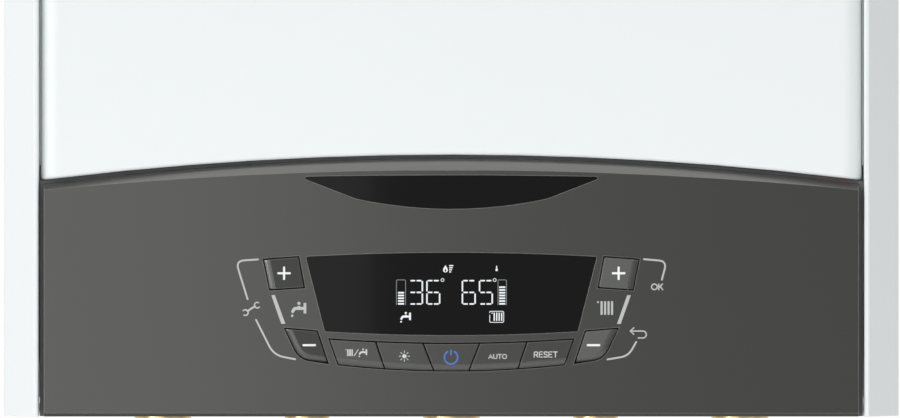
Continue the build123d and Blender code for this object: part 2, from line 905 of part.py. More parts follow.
def cable_glands():
    """Rubber grommets in the housing's floor, each held by a groove round the wall."""
    glands = []
    middle = housing_low + housing_wall / 2
    groove = housing_wall / 2 + screw_play
    floor = gland_radius - gland_groove
    for x in gland_places:
        gland = ring(x, gland_out, gland_radius, gland_radius / 2, middle - gland_height / 2, gland_height)
        gland -= ring(x, gland_out, gland_radius + cut_overrun, floor, middle - groove, 2 * groove)
        glands.append(gland)
    return group(glands)


def control_hinge_pins():
    """Two headed pins through the lower frame's arms and the housing's ears."""
    inner = housing_half - ear_thickness - seat_gap
    outer = housing_half + arm_gap + arm_sheet
    pin = across(pin_radius, pivot_out, pivot_height, inner, outer)
    pin += across(pin_head_radius, pivot_out, pivot_height, outer, outer + pin_head)
    return group([pin, mirrored(pin)])


def domed(drum, depth):
    """Round drum with both rims bevelled twice, as a plain form of a pressed dome."""
    drum = chamfer(drum.edges().filter_by(GeomType.CIRCLE), depth)
    return chamfer(drum.edges().filter_by(GeomType.CIRCLE), depth / 3)


def expansion_vessel():
    """Flat welded steel vessel with a rolled rim and a threaded nipple at its foot."""
    back = frame_face + rib_rise
    vessel = domed(forward(vessel_radius, 0, vessel_height, back, back + vessel_depth), vessel_round)
    middle = back + vessel_depth / 2
    rim_half_thickness = vessel_rim_thickness / 2
    rim_span = (middle - rim_half_thickness, middle + rim_half_thickness)
    vessel += forward(vessel_radius + vessel_rim, 0, vessel_height, *rim_span)
    inner = forward(vessel_radius - sheet, 0, vessel_height, back + sheet, back + vessel_depth - sheet)
    foot = vessel_height - vessel_radius
    vessel += upright(pipe_radius, 0, middle, foot - pipe_bend, foot + vessel_rim)
    vessel -= domed(inner, vessel_round)
    return vessel - upright(pipe_radius / 2, 0, middle, foot - pipe_bend - cut_overrun, vessel_height)


def drum_stays():
    """Two folded sheet stays that carry the heat exchanger from the rear frame's flanges."""
    outer = frame_half - sheet
    front = drum_lug_out() + plate_sheet
    half = drum_lug_height / 2
    heights = (drum_height - half, drum_height + half)
    stay = block((outer - plate_sheet, outer), (frame_stand + sheet + rib_rise, front), heights)
    stay += block((drum_radius + drum_flange, outer), (front - plate_sheet, front), heights)
    return group([stay, mirrored(stay)])


def drum_lug_out():
    """Distance out of the wall of the face where the drum's lugs meet their stays."""
    return (drum_back + drum_front) / 2 + drum_flange


def heat_exchanger_drum():
    """Moulded drum with rings, a front flange, water ports, a flue port, a drain and two lugs."""
    drum = forward(drum_radius, 0, drum_height, drum_back, drum_front)
    drum += forward(drum_radius + drum_flange, 0, drum_height, drum_front - drum_flange_depth, drum_front)
    pitch = (drum_front - drum_back) / (drum_rib_count + 1)
    for number in range(drum_rib_count):
        start = drum_back + pitch * (number + 1 / 2)
        drum += forward(drum_radius + drum_rib, 0, drum_height, start, start + drum_rib)
    drum += upright(flue_radius + flue_wall, 0, flue_out, drum_height, flue_foot())
    drum += upright(trap_outlet, trap_x, trap_out, trap_high, drum_height)
    port = pipe_radius + pipe_wall
    for side in (-1, 1):
        drum += upright(port, side * tail_pitch, pump_out, drum_port_height(), drum_height)
        reach = (side * (drum_radius - drum_flange), side * (drum_radius + drum_lug_reach))
        lug = (drum_lug_out() - drum_flange, drum_lug_out())
        half = drum_lug_height / 2 - drum_rib
        drum += block(reach, lug, (drum_height - half, drum_height + half))
    drum -= forward(drum_radius - drum_wall, 0, drum_height, drum_back + drum_wall, drum_front + cut_overrun)
    drum -= upright(flue_radius - flue_wall, 0, flue_out, drum_height, flue_foot() + cut_overrun)
    return drum - upright(trap_outlet - drum_wall, trap_x, trap_out, trap_high - cut_overrun, drum_height)


def drum_port_height():
    """Height of the lower ends of the drum's water ports."""
    return drum_height - drum_radius + drum_flange


def flue_foot():
    """Height at which the flue duct meets the drum's port."""
    return drum_height + drum_radius + drum_flange


def heat_exchanger_coil():
    """Stainless coil of flattened turns, standing on the drum's back wall."""
    back = drum_back + drum_wall
    front = drum_front - coil_margin
    coil = forward(coil_radius, 0, drum_height, back, front)
    pitch = (front - back) / coil_turns
    for number in range(1, coil_turns):
        cut = back + pitch * number - coil_groove / 2
        groove = forward(coil_radius + cut_overrun, 0, drum_height, cut, cut + coil_groove)
        coil -= groove - forward(coil_radius - coil_groove, 0, drum_height, cut, cut + coil_groove)
    return coil - forward(coil_bore, 0, drum_height, back - cut_overrun, front + cut_overrun)


def electrode_places():
    """Front-view places of the two ignition electrodes and the flame probe."""
    height = drum_height - duct_hub_radius - 1.5 * ceramic_radius
    return [(step * electrode_spread, height) for step in (-1, 0, 1)]


def burner_door():
    """Cast door on the drum's flange, with its air and gas duct rising from the fan's outlet."""
    front = drum_front + door_depth
    door = forward(drum_radius + drum_flange, 0, drum_height, drum_front, front)
    left = fan_outlet_x() - duct_width / 2
    foot = fan_low
    crown = drum_height + duct_width / 2
    leg = RectangleRounded(duct_width, crown - foot, duct_round)
    leg = Pos(left + duct_width / 2, (foot + crown) / 2) * leg
    arm = Pos(left / 2, drum_height) * RectangleRounded(-left, duct_width, duct_round)
    hub = Pos(0, drum_height) * Circle(duct_hub_radius)
    duct = front_slab(leg + arm + hub, front + duct_depth, duct_depth)
    rim = duct.faces().sort_by(Axis.Y)[0].edges()
    door += chamfer(rim, duct_depth / 8)
    through = (drum_front - cut_overrun, front + duct_depth + cut_overrun)
    for x, z in electrode_places():
        door -= forward(ceramic_radius + screw_play, x, z, *through)
    return door


def burner_door_nuts():
    """Hexagon nuts round the burner door."""
    front = drum_front + door_depth
    radius = drum_radius + drum_flange - nut_size - seat_gap
    nut = front_slab(RegularPolygon(nut_size, 6), front + nut_depth, nut_depth)
    places = []
    for number in range(nut_count):
        angle = math.radians(360 / nut_count * (number + 1 / 2))
        places.append(Pos(radius * math.cos(angle), 0, drum_height + radius * math.sin(angle)) * nut)
    return group(places)


def burner_tube():
    """Closed burner tube that reaches from the door into the coil."""
    tube = forward(burner_radius, 0, drum_height, drum_front - burner_depth, drum_front)
    floor = drum_front - burner_depth + burner_wall
    return tube - forward(burner_radius - burner_wall, 0, drum_height, floor, drum_front + cut_overrun)


def electrodes():
    """Two ignition electrodes and a flame probe in ceramic sleeves through the door."""
    rods = []
    front = drum_front + door_depth
    for x, z in electrode_places():
        rod = forward(electrode_radius, x, z, front - electrode_length, front)
        rod += forward(ceramic_radius, x, z, drum_front, front + ceramic_length)
        rods.append(rod)
    return group(rods)


def fan_outlet_x():
    """Middle of the fan's outlet, tangent to the volute's left side."""
    return fan_x - fan_radius + duct_width / 2


def fan_plan(inset):
    """Plan view of the volute: a spiral of four quarter arcs that opens into the outlet."""
    step = fan_radius / 16
    radius = fan_radius - inset
    outline = Circle(radius - step)
    for number in range(3):
        grown = radius - step * (2 - number) / 2
        outline += Pos(-step / 2, -step * number / 4) * Circle(grown - step / 2)
    width = duct_width - 2 * inset
    length = drum_front + door_depth - fan_out + (cut_overrun if inset else 0)
    outlet = Pos(fan_outlet_x() - fan_x, -length / 2) * Rectangle(width, length)
    return Pos(fan_x, -fan_out) * (outline + outlet)


def fan_housing():
    """Volute with a square outlet towards the burner door, an inlet below and a shaft hole above."""
    shell = rise(fan_plan(0), fan_low, fan_high - fan_low)
    shell -= rise(fan_plan(fan_wall), fan_low + fan_wall, fan_high - fan_low - 2 * fan_wall)
    floor = fan_low + fan_wall
    shell -= upright(fan_inlet_radius, fan_x, fan_out, fan_low - cut_overrun, floor + cut_overrun)
    hole = motor_shaft_radius + seat_gap
    return shell - upright(hole, fan_x, fan_out, fan_high - fan_wall - cut_overrun, fan_high + cut_overrun)


def swept_blade(root, tip, sweep, thickness):
    """Plan view of one curved blade from a root radius to a tip radius."""
    middle = (root + tip) / 2
    inner = ThreePointArc((root, 0), (middle, sweep / 3), (tip, sweep))
    outer = ThreePointArc((tip, sweep + thickness), (middle, sweep / 3 + thickness), (root, thickness))
    ends = [Line((tip, sweep), (tip, sweep + thickness)), Line((root, thickness), (root, 0))]
    return make_face([inner, ends[0], outer, ends[1]])


def fan_impeller():
    """Shrouded impeller with swept blades, hub and shaft, turning on the motor's axis."""
    low = fan_low + fan_wall + impeller_gap
    high = low + impeller_height
    tip = impeller_radius - blade_sweep / 4
    blade = swept_blade(blade_root, tip, blade_sweep, blade_thickness)
    wheel = upright(impeller_radius, fan_x, fan_out, high - impeller_plate, high)
    for number in range(impeller_blades):
        turned = Pos(fan_x, -fan_out) * Rot(0, 0, 360 / impeller_blades * number) * blade
        wheel += rise(turned, low + impeller_plate, high - low - 1.5 * impeller_plate)
    wheel += ring(fan_x, fan_out, impeller_radius, fan_inlet_radius + impeller_plate, low, impeller_plate)
    wheel += upright(impeller_hub, fan_x, fan_out, low + impeller_height / 2, high)
    return wheel + upright(motor_shaft_radius, fan_x, fan_out, high, fan_high + motor_height / 2)


def fan_motor():
    """Fan motor with a stepped cap and a bearing bore for the shaft."""
    cap = motor_height / 4
    motor = upright(motor_radius, fan_x, fan_out, fan_high, fan_high + motor_height - cap)
    motor += upright(motor_radius - cap / 2, fan_x, fan_out, fan_high, fan_high + motor_height)
    bore = motor_shaft_radius + shaft_play
    bore_top = fan_high + motor_height / 2 + seat_gap
    return motor - upright(bore, fan_x, fan_out, fan_high - cut_overrun, bore_top)


def gas_air_mixer():
    """Venturi under the fan's inlet, with a side port for the silencer."""
    low = fan_low - mixer_height
    third = mixer_height / 3
    profile = Polyline(
        (fan_inlet_radius, low), (mixer_radius, low), (mixer_radius, low + third / 2),
        (mixer_waist, low + third), (mixer_waist, fan_low - third), (mixer_radius, fan_low - third / 2),
        (mixer_radius, fan_low), (fan_inlet_radius, fan_low), (mixer_waist - pipe_wall, fan_low - third),
        (mixer_waist - pipe_wall, low + third), close=True,
    )
    body = revolve(Plane.XZ * make_face(profile), axis=Axis.Z)
    body = Pos(fan_x, -fan_out, 0) * body
    middle = low + mixer_height / 2
    port = across(silencer_bore, fan_out, middle, fan_x + mixer_waist / 2, fan_x + mixer_radius + third)
    port -= upright(mixer_waist - pipe_wall, fan_x, fan_out, low - cut_overrun, fan_low + cut_overrun)
    body += port
    reach = fan_x + mixer_radius + third + cut_overrun
    return body - across(silencer_bore - drum_wall, fan_out, middle, fan_x, reach)


def air_silencer():
    """Intake silencer tube with a flared mouth, beside the mixer."""
    middle = fan_low - mixer_height / 2
    start = fan_x + mixer_radius + mixer_height / 3
    finish = start + silencer_length
    tube = across(silencer_radius, fan_out, middle, start, finish)
    tube = chamfer(tube.edges().sort_by(Axis.X)[-1], drum_wall)
    return tube - across(silencer_bore, fan_out, middle, start - cut_overrun, finish + cut_overrun)


def gas_valve():
    """Gas valve block under the mixer, with its coils and an inlet boss."""
    high = fan_low - mixer_height
    low = high - valve_height
    half = valve_width / 2
    near = (fan_out - valve_depth / 2, fan_out + valve_depth / 2)
    body = block((fan_x - half, fan_x + half), near, (low + gas_pipe_radius, high))
    body = fillet(body.edges().filter_by(Axis.Z), valve_width / 12)
    body += upright(gas_pipe_radius + pipe_wall, fan_x, fan_out, low, low + 2 * gas_pipe_radius)
    for height_share in (0.34, 0.71):
        middle = low + valve_height * height_share
        body += forward(valve_width / 5, fan_x, middle, near[1], near[1] + valve_width / 4)
    return body


def gas_pipe():
    """Pipe from the gas tail up, across and up again into the gas valve."""
    valve_foot = fan_low - mixer_height - valve_height
    run = valve_foot - 1.7 * pipe_bend
    points = [
        (0, -tail_out, plate_top + tail_shoulder_height),
        (0, -tail_out, run),
        (fan_x, -fan_out, run),
        (fan_x, -fan_out, valve_foot),
    ]
    return pipe(points, gas_pipe_radius, pipe_bend)


def flue_duct():
    """Flue tube from the drum's port up to the collar, with a bell at its foot."""
    duct = upright(flue_radius, 0, flue_out, flue_foot(), collar_foot())
    bell = upright(flue_radius + flue_bell, 0, flue_out, flue_foot(), flue_foot() + flue_bell_height)
    duct += chamfer(bell.edges().sort_by(Axis.Z)[-1], flue_bell / 2)
    inside = flue_radius - flue_wall
    return duct - upright(inside, 0, flue_out, flue_foot() - cut_overrun, collar_foot() + cut_overrun)


def collar_foot():
    """Height of the lower end of the collar's inner tube."""
    return top_height - collar_flange_thickness


def flue_collar():
    """Twin-wall flue collar: flange on the roof, outer tube, inner socket and three webs between them."""
    low = top_height + sheet
    collar = ring(0, flue_out, collar_flange, collar_outer - collar_wall, low, collar_flange_thickness)
    collar += ring(0, flue_out, collar_outer, collar_outer - collar_wall, low, collar_rise)
    inner_outer = collar_inner + collar_wall
    shoulder = low + collar_floor
    foot = collar_foot()
    collar += ring(0, flue_out, inner_outer, flue_radius - flue_wall, foot, shoulder - foot)
    collar += ring(0, flue_out, inner_outer, collar_inner, shoulder, collar_rise - collar_floor)
    web_length = collar_outer - collar_wall / 2 - collar_inner - collar_wall / 2
    web = Rectangle(web_length, collar_flange_thickness)
    web = Pos(collar_inner + collar_wall / 2 + web_length / 2, 0) * web
    for turn in (90, 210, 330):
        collar += rise(Pos(0, -flue_out) * Rot(0, 0, turn) * web, low, collar_floor)
    return collar


def pump_housing():
    """Pump volute with its inlet spigot below and its outlet spigot above."""
    near = pump_out - pump_depth / 2
    far = pump_out + pump_depth / 2
    housing = forward(pump_radius, pump_x, pump_height, near, far)
    spigot = manifold_radius - pipe_wall
    housing += upright(spigot, pump_x, pump_out, pump_inlet_foot(), pump_height)
    housing += upright(spigot - drum_wall, pump_outlet_x(), pump_out, pump_height, pump_outlet_top())
    cavity = pump_radius - 2 * pump_wall
    housing -= forward(cavity, pump_x, pump_height, near + pump_wall, far - pump_wall)
    shaft = pump_shaft_radius + seat_gap
    return housing - forward(shaft, pump_x, pump_height, far - pump_wall - cut_overrun, far + cut_overrun)


def pump_inlet_foot():
    """Height at which the pump stands on the return manifold."""
    return pump_height - pump_radius - pump_wall


def pump_outlet_x():
    """Place of the pump's outlet along X."""
    return pump_x - pump_radius + pump_wall + manifold_radius / 2


def pump_outlet_top():
    """Height of the pump's outlet."""
    return pump_height + pump_radius + pump_wall


def pump_motor():
    """Pump motor with its control box and the bearing bore for the shaft."""
    start = pump_out + pump_depth / 2
    end = start + pump_motor_depth
    motor = forward(pump_motor_radius, pump_x, pump_height, start, end)
    half = pump_motor_box / 2
    heights = (pump_height - half, pump_height + half)
    box = block((pump_x - half, pump_x + half), (end, end + pump_motor_box_depth), heights)
    motor += fillet(box.edges().filter_by(Axis.Y), pump_motor_box / 12)
    bore = pump_shaft_radius + shaft_play
    bore_end = start + pump_motor_depth / 2 + seat_gap
    return motor - forward(bore, pump_x, pump_height, start - cut_overrun, bore_end)


def pump_impeller():
    """Pump impeller with swept blades on a disc, and its shaft."""
    near = pump_out - pump_impeller_depth / 2
    far = pump_out + pump_impeller_depth / 2
    plate = pump_impeller_depth / 7
    wheel = forward(pump_impeller_radius, pump_x, pump_height, far - plate, far)
    sweep = pump_impeller_radius / 3
    blade = swept_blade(2 * pump_shaft_radius, pump_impeller_radius - plate - sweep / 6, sweep, plate)
    for number in range(pump_blades):
        turned = Pos(pump_x, pump_height) * Rot(0, 0, 360 / pump_blades * number) * blade
        wheel += front_slab(turned, far - plate, pump_impeller_depth - plate)
    end = pump_out + pump_depth / 2 + pump_motor_depth / 2
    wheel += forward(2 * pump_shaft_radius + plate, pump_x, pump_height, near, far)
    return wheel + forward(pump_shaft_radius, pump_x, pump_height, far, end)


def plate_heat_exchanger():
    """Brazed stack of pressed plates with rounded corners."""
    middle = Pos(0, (stack_low + stack_high) / 2)
    height = stack_high - stack_low
    depth = stack_plates * stack_pitch
    front = stack_back() + depth
    inset = stack_pitch - stack_plate
    core = middle * Rectangle(2 * (stack_half - stack_round), height - 2 * inset)
    core += middle * Rectangle(2 * (stack_half - inset), height - 2 * stack_round)
    stack = front_slab(core, front, depth)
    plate = middle * RectangleRounded(2 * stack_half, height, stack_round)
    for number in range(stack_plates):
        stack += front_slab(plate, stack_back() + number * stack_pitch + stack_plate, stack_plate)
    return stack


def stack_back():
    """Distance out of the wall of the plate stack's back face."""
    return tail_out + manifold_radius + drum_wall


def manifold_foot():
    """Height at which the manifolds stand on the pipe tails."""
    return plate_top + tail_shoulder_height


def manifold_columns(side):
    """Two columns over the outer tails of one side, with a cross tube and two ports to the plate stack."""
    outer = 2 * side * tail_pitch
    inner = side * tail_pitch
    foot = manifold_foot()
    body = upright(manifold_radius, outer, tail_out, foot, manifold_top)
    body += upright(manifold_radius - pipe_wall, inner, tail_out, foot, manifold_top - manifold_radius)
    cross = (stack_low + stack_high) / 2 + pipe_bend / 2
    body += across(manifold_radius - drum_wall, tail_out, cross, min(outer, inner), max(outer, inner))
    for share in (1 / 4, 3 / 4):
        port = stack_low + share * (stack_high - stack_low)
        body += forward(manifold_radius - drum_flange_depth, inner, port, tail_out, stack_back())
    return body


def flow_manifold():
    """Flow side: manifold with the diverter valve's chamber, stem bore and flow port."""
    x = -2 * tail_pitch
    inner = -tail_pitch
    body = manifold_columns(-1)
    socket = pipe_radius + pipe_wall
    body += upright(socket, inner, tail_out, manifold_top - 2 * manifold_radius, manifold_top)
    chamber_low = spindle_foot() - spindle_travel - turbine_chamber_gap
    chamber_high = spindle_foot() + spindle_head_height + turbine_chamber_gap
    chamber = spindle_head + turbine_chamber_gap
    body -= upright(chamber, x, tail_out, chamber_low, chamber_high)
    body -= upright(spindle_radius + shaft_play, x, tail_out, chamber_high, manifold_top + cut_overrun)
    port = (chamber_low + chamber_high) / 2
    return body - across(chamber / 2, tail_out, port, x - manifold_radius - cut_overrun, x)


def spindle_foot():
    """Height of the diverter disc's lower face at rest."""
    return manifold_top - 2 * manifold_radius - spindle_head_height


def diverter_spindle():
    """Valve disc on a stem that runs up into the actuator."""
    x = -2 * tail_pitch
    foot = spindle_foot()
    stem = upright(spindle_radius, x, tail_out, foot, foot + spindle_length)
    return stem + upright(spindle_head, x, tail_out, foot, foot + spindle_head_height)


def diverter_actuator():
    """Actuator box on the flow manifold, with a bore for the stem."""
    x = -2 * tail_pitch
    half = actuator_size / 2
    high = manifold_top + actuator_height
    box = block((x - half, x + half), (tail_out - half, tail_out + half), (manifold_top, high))
    box = fillet(box.edges().filter_by(Axis.Z), actuator_round)
    bore = spindle_foot() + spindle_length + seat_gap
    return box - upright(spindle_radius + shaft_play, x, tail_out, manifold_top - cut_overrun, bore)


def filling_x():
    """Place of the filling stem, beside the plate stack."""
    return stack_half + filling_stem_clearance


def return_manifold():
    """Return side: manifold with the pump's foot, both valve stems and the flow sensor's chamber."""
    outer = 2 * tail_pitch
    body = manifold_columns(1)
    arm = pump_inlet_foot() - manifold_radius
    body += forward(manifold_radius - drum_wall, pump_x, arm, tail_out, pump_out)
    body += upright(manifold_radius - drum_wall, pump_x, pump_out, arm, pump_inlet_foot())
    safety = stack_high - stack_round
    seat = safety_seat()
    body += across(knob_radius - drum_flange_depth, tail_out, safety, outer, seat - seat_gap)
    body += across(pump_shaft_radius, tail_out, safety, outer, seat + knob_depth / 2)
    fill = manifold_foot() + knob_radius
    body += across(filling_knob_radius - drum_wall, tail_out, fill, tail_pitch, outer)
    body += forward(drum_flange, filling_x(), fill, tail_out, filling_out)
    body += upright(drum_flange, filling_x(), filling_out, plate_top + drum_wall, fill)
    stem_foot = filling_knob_foot() + filling_knob_height / 2
    body += upright(pump_shaft_radius, filling_x(), filling_out, stem_foot, fill)
    low = turbine_foot()
    high = low + turbine_height
    gap = turbine_chamber_gap
    body -= upright(turbine_radius + gap, tail_pitch, tail_out, low - gap, high + gap)
    bearing = turbine_shaft + shaft_play
    reach = turbine_height / 2
    body -= upright(bearing, tail_pitch, tail_out, low - reach - gap, high + reach + gap)
    middle = (low + high) / 2
    return body - forward(turbine_radius / 2, tail_pitch, middle, tail_out, tail_out + 2 * manifold_radius)


def safety_seat():
    """Place along X of the safety valve knob's inner face."""
    return 2 * tail_pitch + 2 * manifold_radius


def turbine_foot():
    """Height of the flow turbine's lower face."""
    return manifold_foot() + turbine_height


def filling_knob_foot():
    """Height of the filling knob's lower face."""
    return plate_height - plate_sheet - filling_knob_height


def flow_turbine():
    """Flow sensor wheel with straight blades on a thin shaft."""
    low = turbine_foot()
    reach = turbine_height / 2 - seat_gap
    wheel = upright(turbine_shaft, tail_pitch, tail_out, low - reach, low + turbine_height + reach)
    wheel += upright(2 * turbine_shaft, tail_pitch, tail_out, low, low + turbine_height)
    blade = Pos(turbine_radius / 2, 0) * Rectangle(turbine_radius - turbine_blade, turbine_blade)
    for number in range(turbine_blades):
        turned = Pos(tail_pitch, -tail_out) * Rot(0, 0, 360 / turbine_blades * number) * blade
        wheel += rise(turned, low, turbine_height)
    return wheel


def lobed_face(radius):
    """Round knob outline with finger notches."""
    face = Circle(radius)
    for number in range(knob_lobes):
        face -= Rot(0, 0, 360 / knob_lobes * number) * Pos(radius + knob_notch / 2, 0) * Circle(knob_notch)
    return face


def safety_valve_knob():
    """Lobed knob on the safety valve's stem."""
    height = stack_high - stack_round
    start = safety_seat()
    plane = Plane(origin=(start, -tail_out, height), x_dir=(0, 1, 0), z_dir=(1, 0, 0))
    knob = extrude(plane * lobed_face(knob_radius), amount=knob_depth, dir=(1, 0, 0))
    bore = pump_shaft_radius + shaft_play
    return knob - across(bore, tail_out, height, start - cut_overrun, start + knob_depth / 2 + seat_gap)


def filling_knob():
    """Lobed knob under the lower frame, on the filling valve's stem."""
    foot = filling_knob_foot()
    knob = rise(Pos(filling_x(), -filling_out) * lobed_face(filling_knob_radius), foot, filling_knob_height)
    bore = pump_shaft_radius + shaft_play
    low = foot + filling_knob_height / 2 - seat_gap
    return knob - upright(bore, filling_x(), filling_out, low, foot + filling_knob_height + cut_overrun)


def condensate_trap():
    """Condensate cup with its union nut and a straight outlet down to the foot of the casing."""
    cap = trap_radius / 2
    trap = upright(trap_radius, trap_x, trap_out, trap_low, trap_high - cap)
    trap = chamfer(trap.edges().sort_by(Axis.Z)[0], trap_radius / 3)
    nut = Pos(trap_x, -trap_out) * RegularPolygon(trap_radius + drum_wall, 12)
    trap += rise(nut, trap_high - 2 * cap, cap)
    trap += upright(trap_outlet + drum_wall, trap_x, trap_out, trap_high - cap, trap_high)
    trap += upright(trap_outlet, trap_x, trap_out, trap_outlet_foot, trap_low + cap)
    bore = trap_outlet - drum_wall
    return trap - upright(bore, trap_x, trap_out, trap_outlet_foot - cut_overrun, trap_high + cut_overrun)


def flow_pipe():
    """Flow pipe from the drum down and back to the flow manifold."""
    knee = manifold_top + 2 * pipe_bend
    points = [
        (-tail_pitch, -pump_out, drum_port_height()),
        (-tail_pitch, -pump_out, knee + 2 * pipe_bend),
        (-tail_pitch, -tail_out, knee),
        (-tail_pitch, -tail_out, manifold_top),
    ]
    return pipe(points, pipe_radius, pipe_bend)


def return_pipe():
    """Return pipe from the pump's outlet up to the drum."""
    top = pump_outlet_top()
    points = [
        (tail_pitch, -pump_out, drum_port_height()),
        (tail_pitch, -pump_out, top + 3 * pipe_bend),
        (pump_outlet_x(), -pump_out, top + 1.5 * pipe_bend),
        (pump_outlet_x(), -pump_out, top),
    ]
    return pipe(points, pipe_radius, pipe_bend)


def pipe_tails(large):
    """Threaded tails through the lower frame, each with a hexagon above and a lock nut below."""
    radius = large_tail_radius if large else small_tail_radius
    bore = large_tail_bore if large else small_tail_bore
    tails = []
    for number, (x, out) in enumerate(tail_places()):
        if (number % 2 == 0) != large:
            continue
        hexagon = Pos(x, -out) * RegularPolygon(radius + tail_shoulder, 6)
        tail = upright(radius, x, out, -tail_drop, plate_top)
        tail += rise(hexagon, plate_top, tail_shoulder_height)
        tail += rise(hexagon, plate_height - tail_shoulder_height, tail_shoulder_height)
        tails.append(tail - upright(bore, x, out, -tail_drop - cut_overrun, manifold_foot() + cut_overrun))
    return group(tails)


def save(name, shape):
    """Write one node, moved so that the origin lies between the wall screws."""
    export_step(Pos(0, 0, -wall_screw_height) * shape, f"parts/{name}.step")


def main():
    """Build every piece and write its node."""
    os.makedirs("parts", exist_ok=True)
    right_side = side_panel()
    pieces = {
        "wall_bracket": wall_bracket(),
        "rear_frame": rear_frame(),
        "side_panel_right": right_side,
        "side_panel_left": mirrored(right_side),
        "top_panel": top_panel(),
        "lower_frame": lower_frame(),
        "front_panel": front_panel(),
        "front_panel_screws": front_panel_screws(),
        "fascia": fascia(),
        "badge_plate": badge_plate(),
        "display_window": display_window(),
        "display_module": display_module(),
        "display_board": display_board(),
        "keypad_mat": keypad_mat(),
        "control_housing": control_housing(),
        "control_rear_cover": control_rear_cover(),
        "main_board": main_board(),
        "cable_glands": cable_glands(),
        "control_hinge_pins": control_hinge_pins(),
        "expansion_vessel": expansion_vessel(),
        "drum_stays": drum_stays(),
        "heat_exchanger_drum": heat_exchanger_drum(),
        "heat_exchanger_coil": heat_exchanger_coil(),
        "burner_door": burner_door(),
        "burner_door_nuts": burner_door_nuts(),
        "burner_tube": burner_tube(),
        "electrodes": electrodes(),
        "fan_housing": fan_housing(),
        "fan_impeller": fan_impeller(),
        "fan_motor": fan_motor(),
        "gas_air_mixer": gas_air_mixer(),
        "air_silencer": air_silencer(),
        "gas_valve": gas_valve(),
        "gas_pipe": gas_pipe(),
        "flue_duct": flue_duct(),
        "flue_collar": flue_collar(),
        "pump_housing": pump_housing(),
        "pump_motor": pump_motor(),
        "pump_impeller": pump_impeller(),
        "plate_heat_exchanger": plate_heat_exchanger(),
        "flow_manifold": flow_manifold(),
        "diverter_actuator": diverter_actuator(),
        "diverter_spindle": diverter_spindle(),
        "return_manifold": return_manifold(),
        "flow_turbine": flow_turbine(),
        "safety_valve_knob": safety_valve_knob(),
        "filling_knob": filling_knob(),
        "condensate_trap": condensate_trap(),
        "water_pipes": group([flow_pipe(), return_pipe()]),
        "large_pipe_tails": pipe_tails(large=True),
        "small_pipe_tails": pipe_tails(large=False),
    }
    pieces.update(keys())
    for name, shape in pieces.items():
        save(name, shape)


main()
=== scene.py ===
"""Looks of a wall-hung gas boiler: finishes, keys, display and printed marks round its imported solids.

Lengths are in metres, with x to the right, y into the wall and z up from midway between the wall screws.
Drawings of the front are in millimetres, with x from the middle and height from the casing's foot, and
"out" is the distance from the wall. An outline is an array (points, 2), anticlockwise seen from the front.
"""

from __future__ import annotations

import json
import logging
import math
from collections.abc import Callable, Sequence
from dataclasses import dataclass, field
from enum import Enum
from functools import lru_cache

import bpy
import numpy as np
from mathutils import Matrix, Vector

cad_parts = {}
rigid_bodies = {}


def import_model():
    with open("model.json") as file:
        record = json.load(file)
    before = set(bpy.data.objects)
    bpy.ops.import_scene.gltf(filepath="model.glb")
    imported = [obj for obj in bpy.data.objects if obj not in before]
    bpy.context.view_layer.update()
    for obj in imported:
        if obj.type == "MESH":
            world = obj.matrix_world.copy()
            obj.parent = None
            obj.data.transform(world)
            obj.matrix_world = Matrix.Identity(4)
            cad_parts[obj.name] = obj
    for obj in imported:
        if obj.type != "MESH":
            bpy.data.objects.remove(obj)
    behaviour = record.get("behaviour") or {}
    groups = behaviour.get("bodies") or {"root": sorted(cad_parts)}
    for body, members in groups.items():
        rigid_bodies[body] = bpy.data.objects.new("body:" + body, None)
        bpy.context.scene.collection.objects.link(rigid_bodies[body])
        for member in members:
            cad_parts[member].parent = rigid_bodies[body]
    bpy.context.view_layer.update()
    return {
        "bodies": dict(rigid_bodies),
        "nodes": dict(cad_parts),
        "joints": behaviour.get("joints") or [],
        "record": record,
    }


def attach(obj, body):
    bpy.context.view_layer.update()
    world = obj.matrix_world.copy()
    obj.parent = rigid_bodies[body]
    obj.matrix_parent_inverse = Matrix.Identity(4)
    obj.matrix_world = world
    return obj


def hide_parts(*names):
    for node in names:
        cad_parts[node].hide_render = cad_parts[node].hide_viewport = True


Array = np.ndarray
Colour = tuple[float, float, float, float]
Place = tuple[float, float, float]
Point = tuple[float, float]
Socket = bpy.types.NodeSocket
MM = 0.001
MOST_TRIM = 0.48  # share of a side that the rounding of one corner may take
LEAST_RADIUS = 0.05
LOG = logging.getLogger("boiler")


class Body(Enum):
    """Moving bodies that new pieces ride on; a key's body has the key's own name."""

    CASING = "casing"
    CONTROL_PANEL = "control_panel"


class Side(Enum):
    """Left and right half of the front, as the sign of x."""

    LEFT = -1
    RIGHT = 1


def tone(red: int, green: int, blue: int) -> Colour:
    """Linear colour of a display colour.

    A value v becomes v / 12.92 near black, else ((v + 0.055) / 1.055) to the 2.4.

    Args:
        red, green, blue: display values from 0 to 255.

    Returns:
        The linear colour, with an alpha of 1.
    """
    value = np.array([red, green, blue]) / 255
    linear = np.where(value <= 0.04045, value / 12.92, ((value + 0.055) / 1.055) ** 2.4)
    return (*linear.tolist(), 1.0)


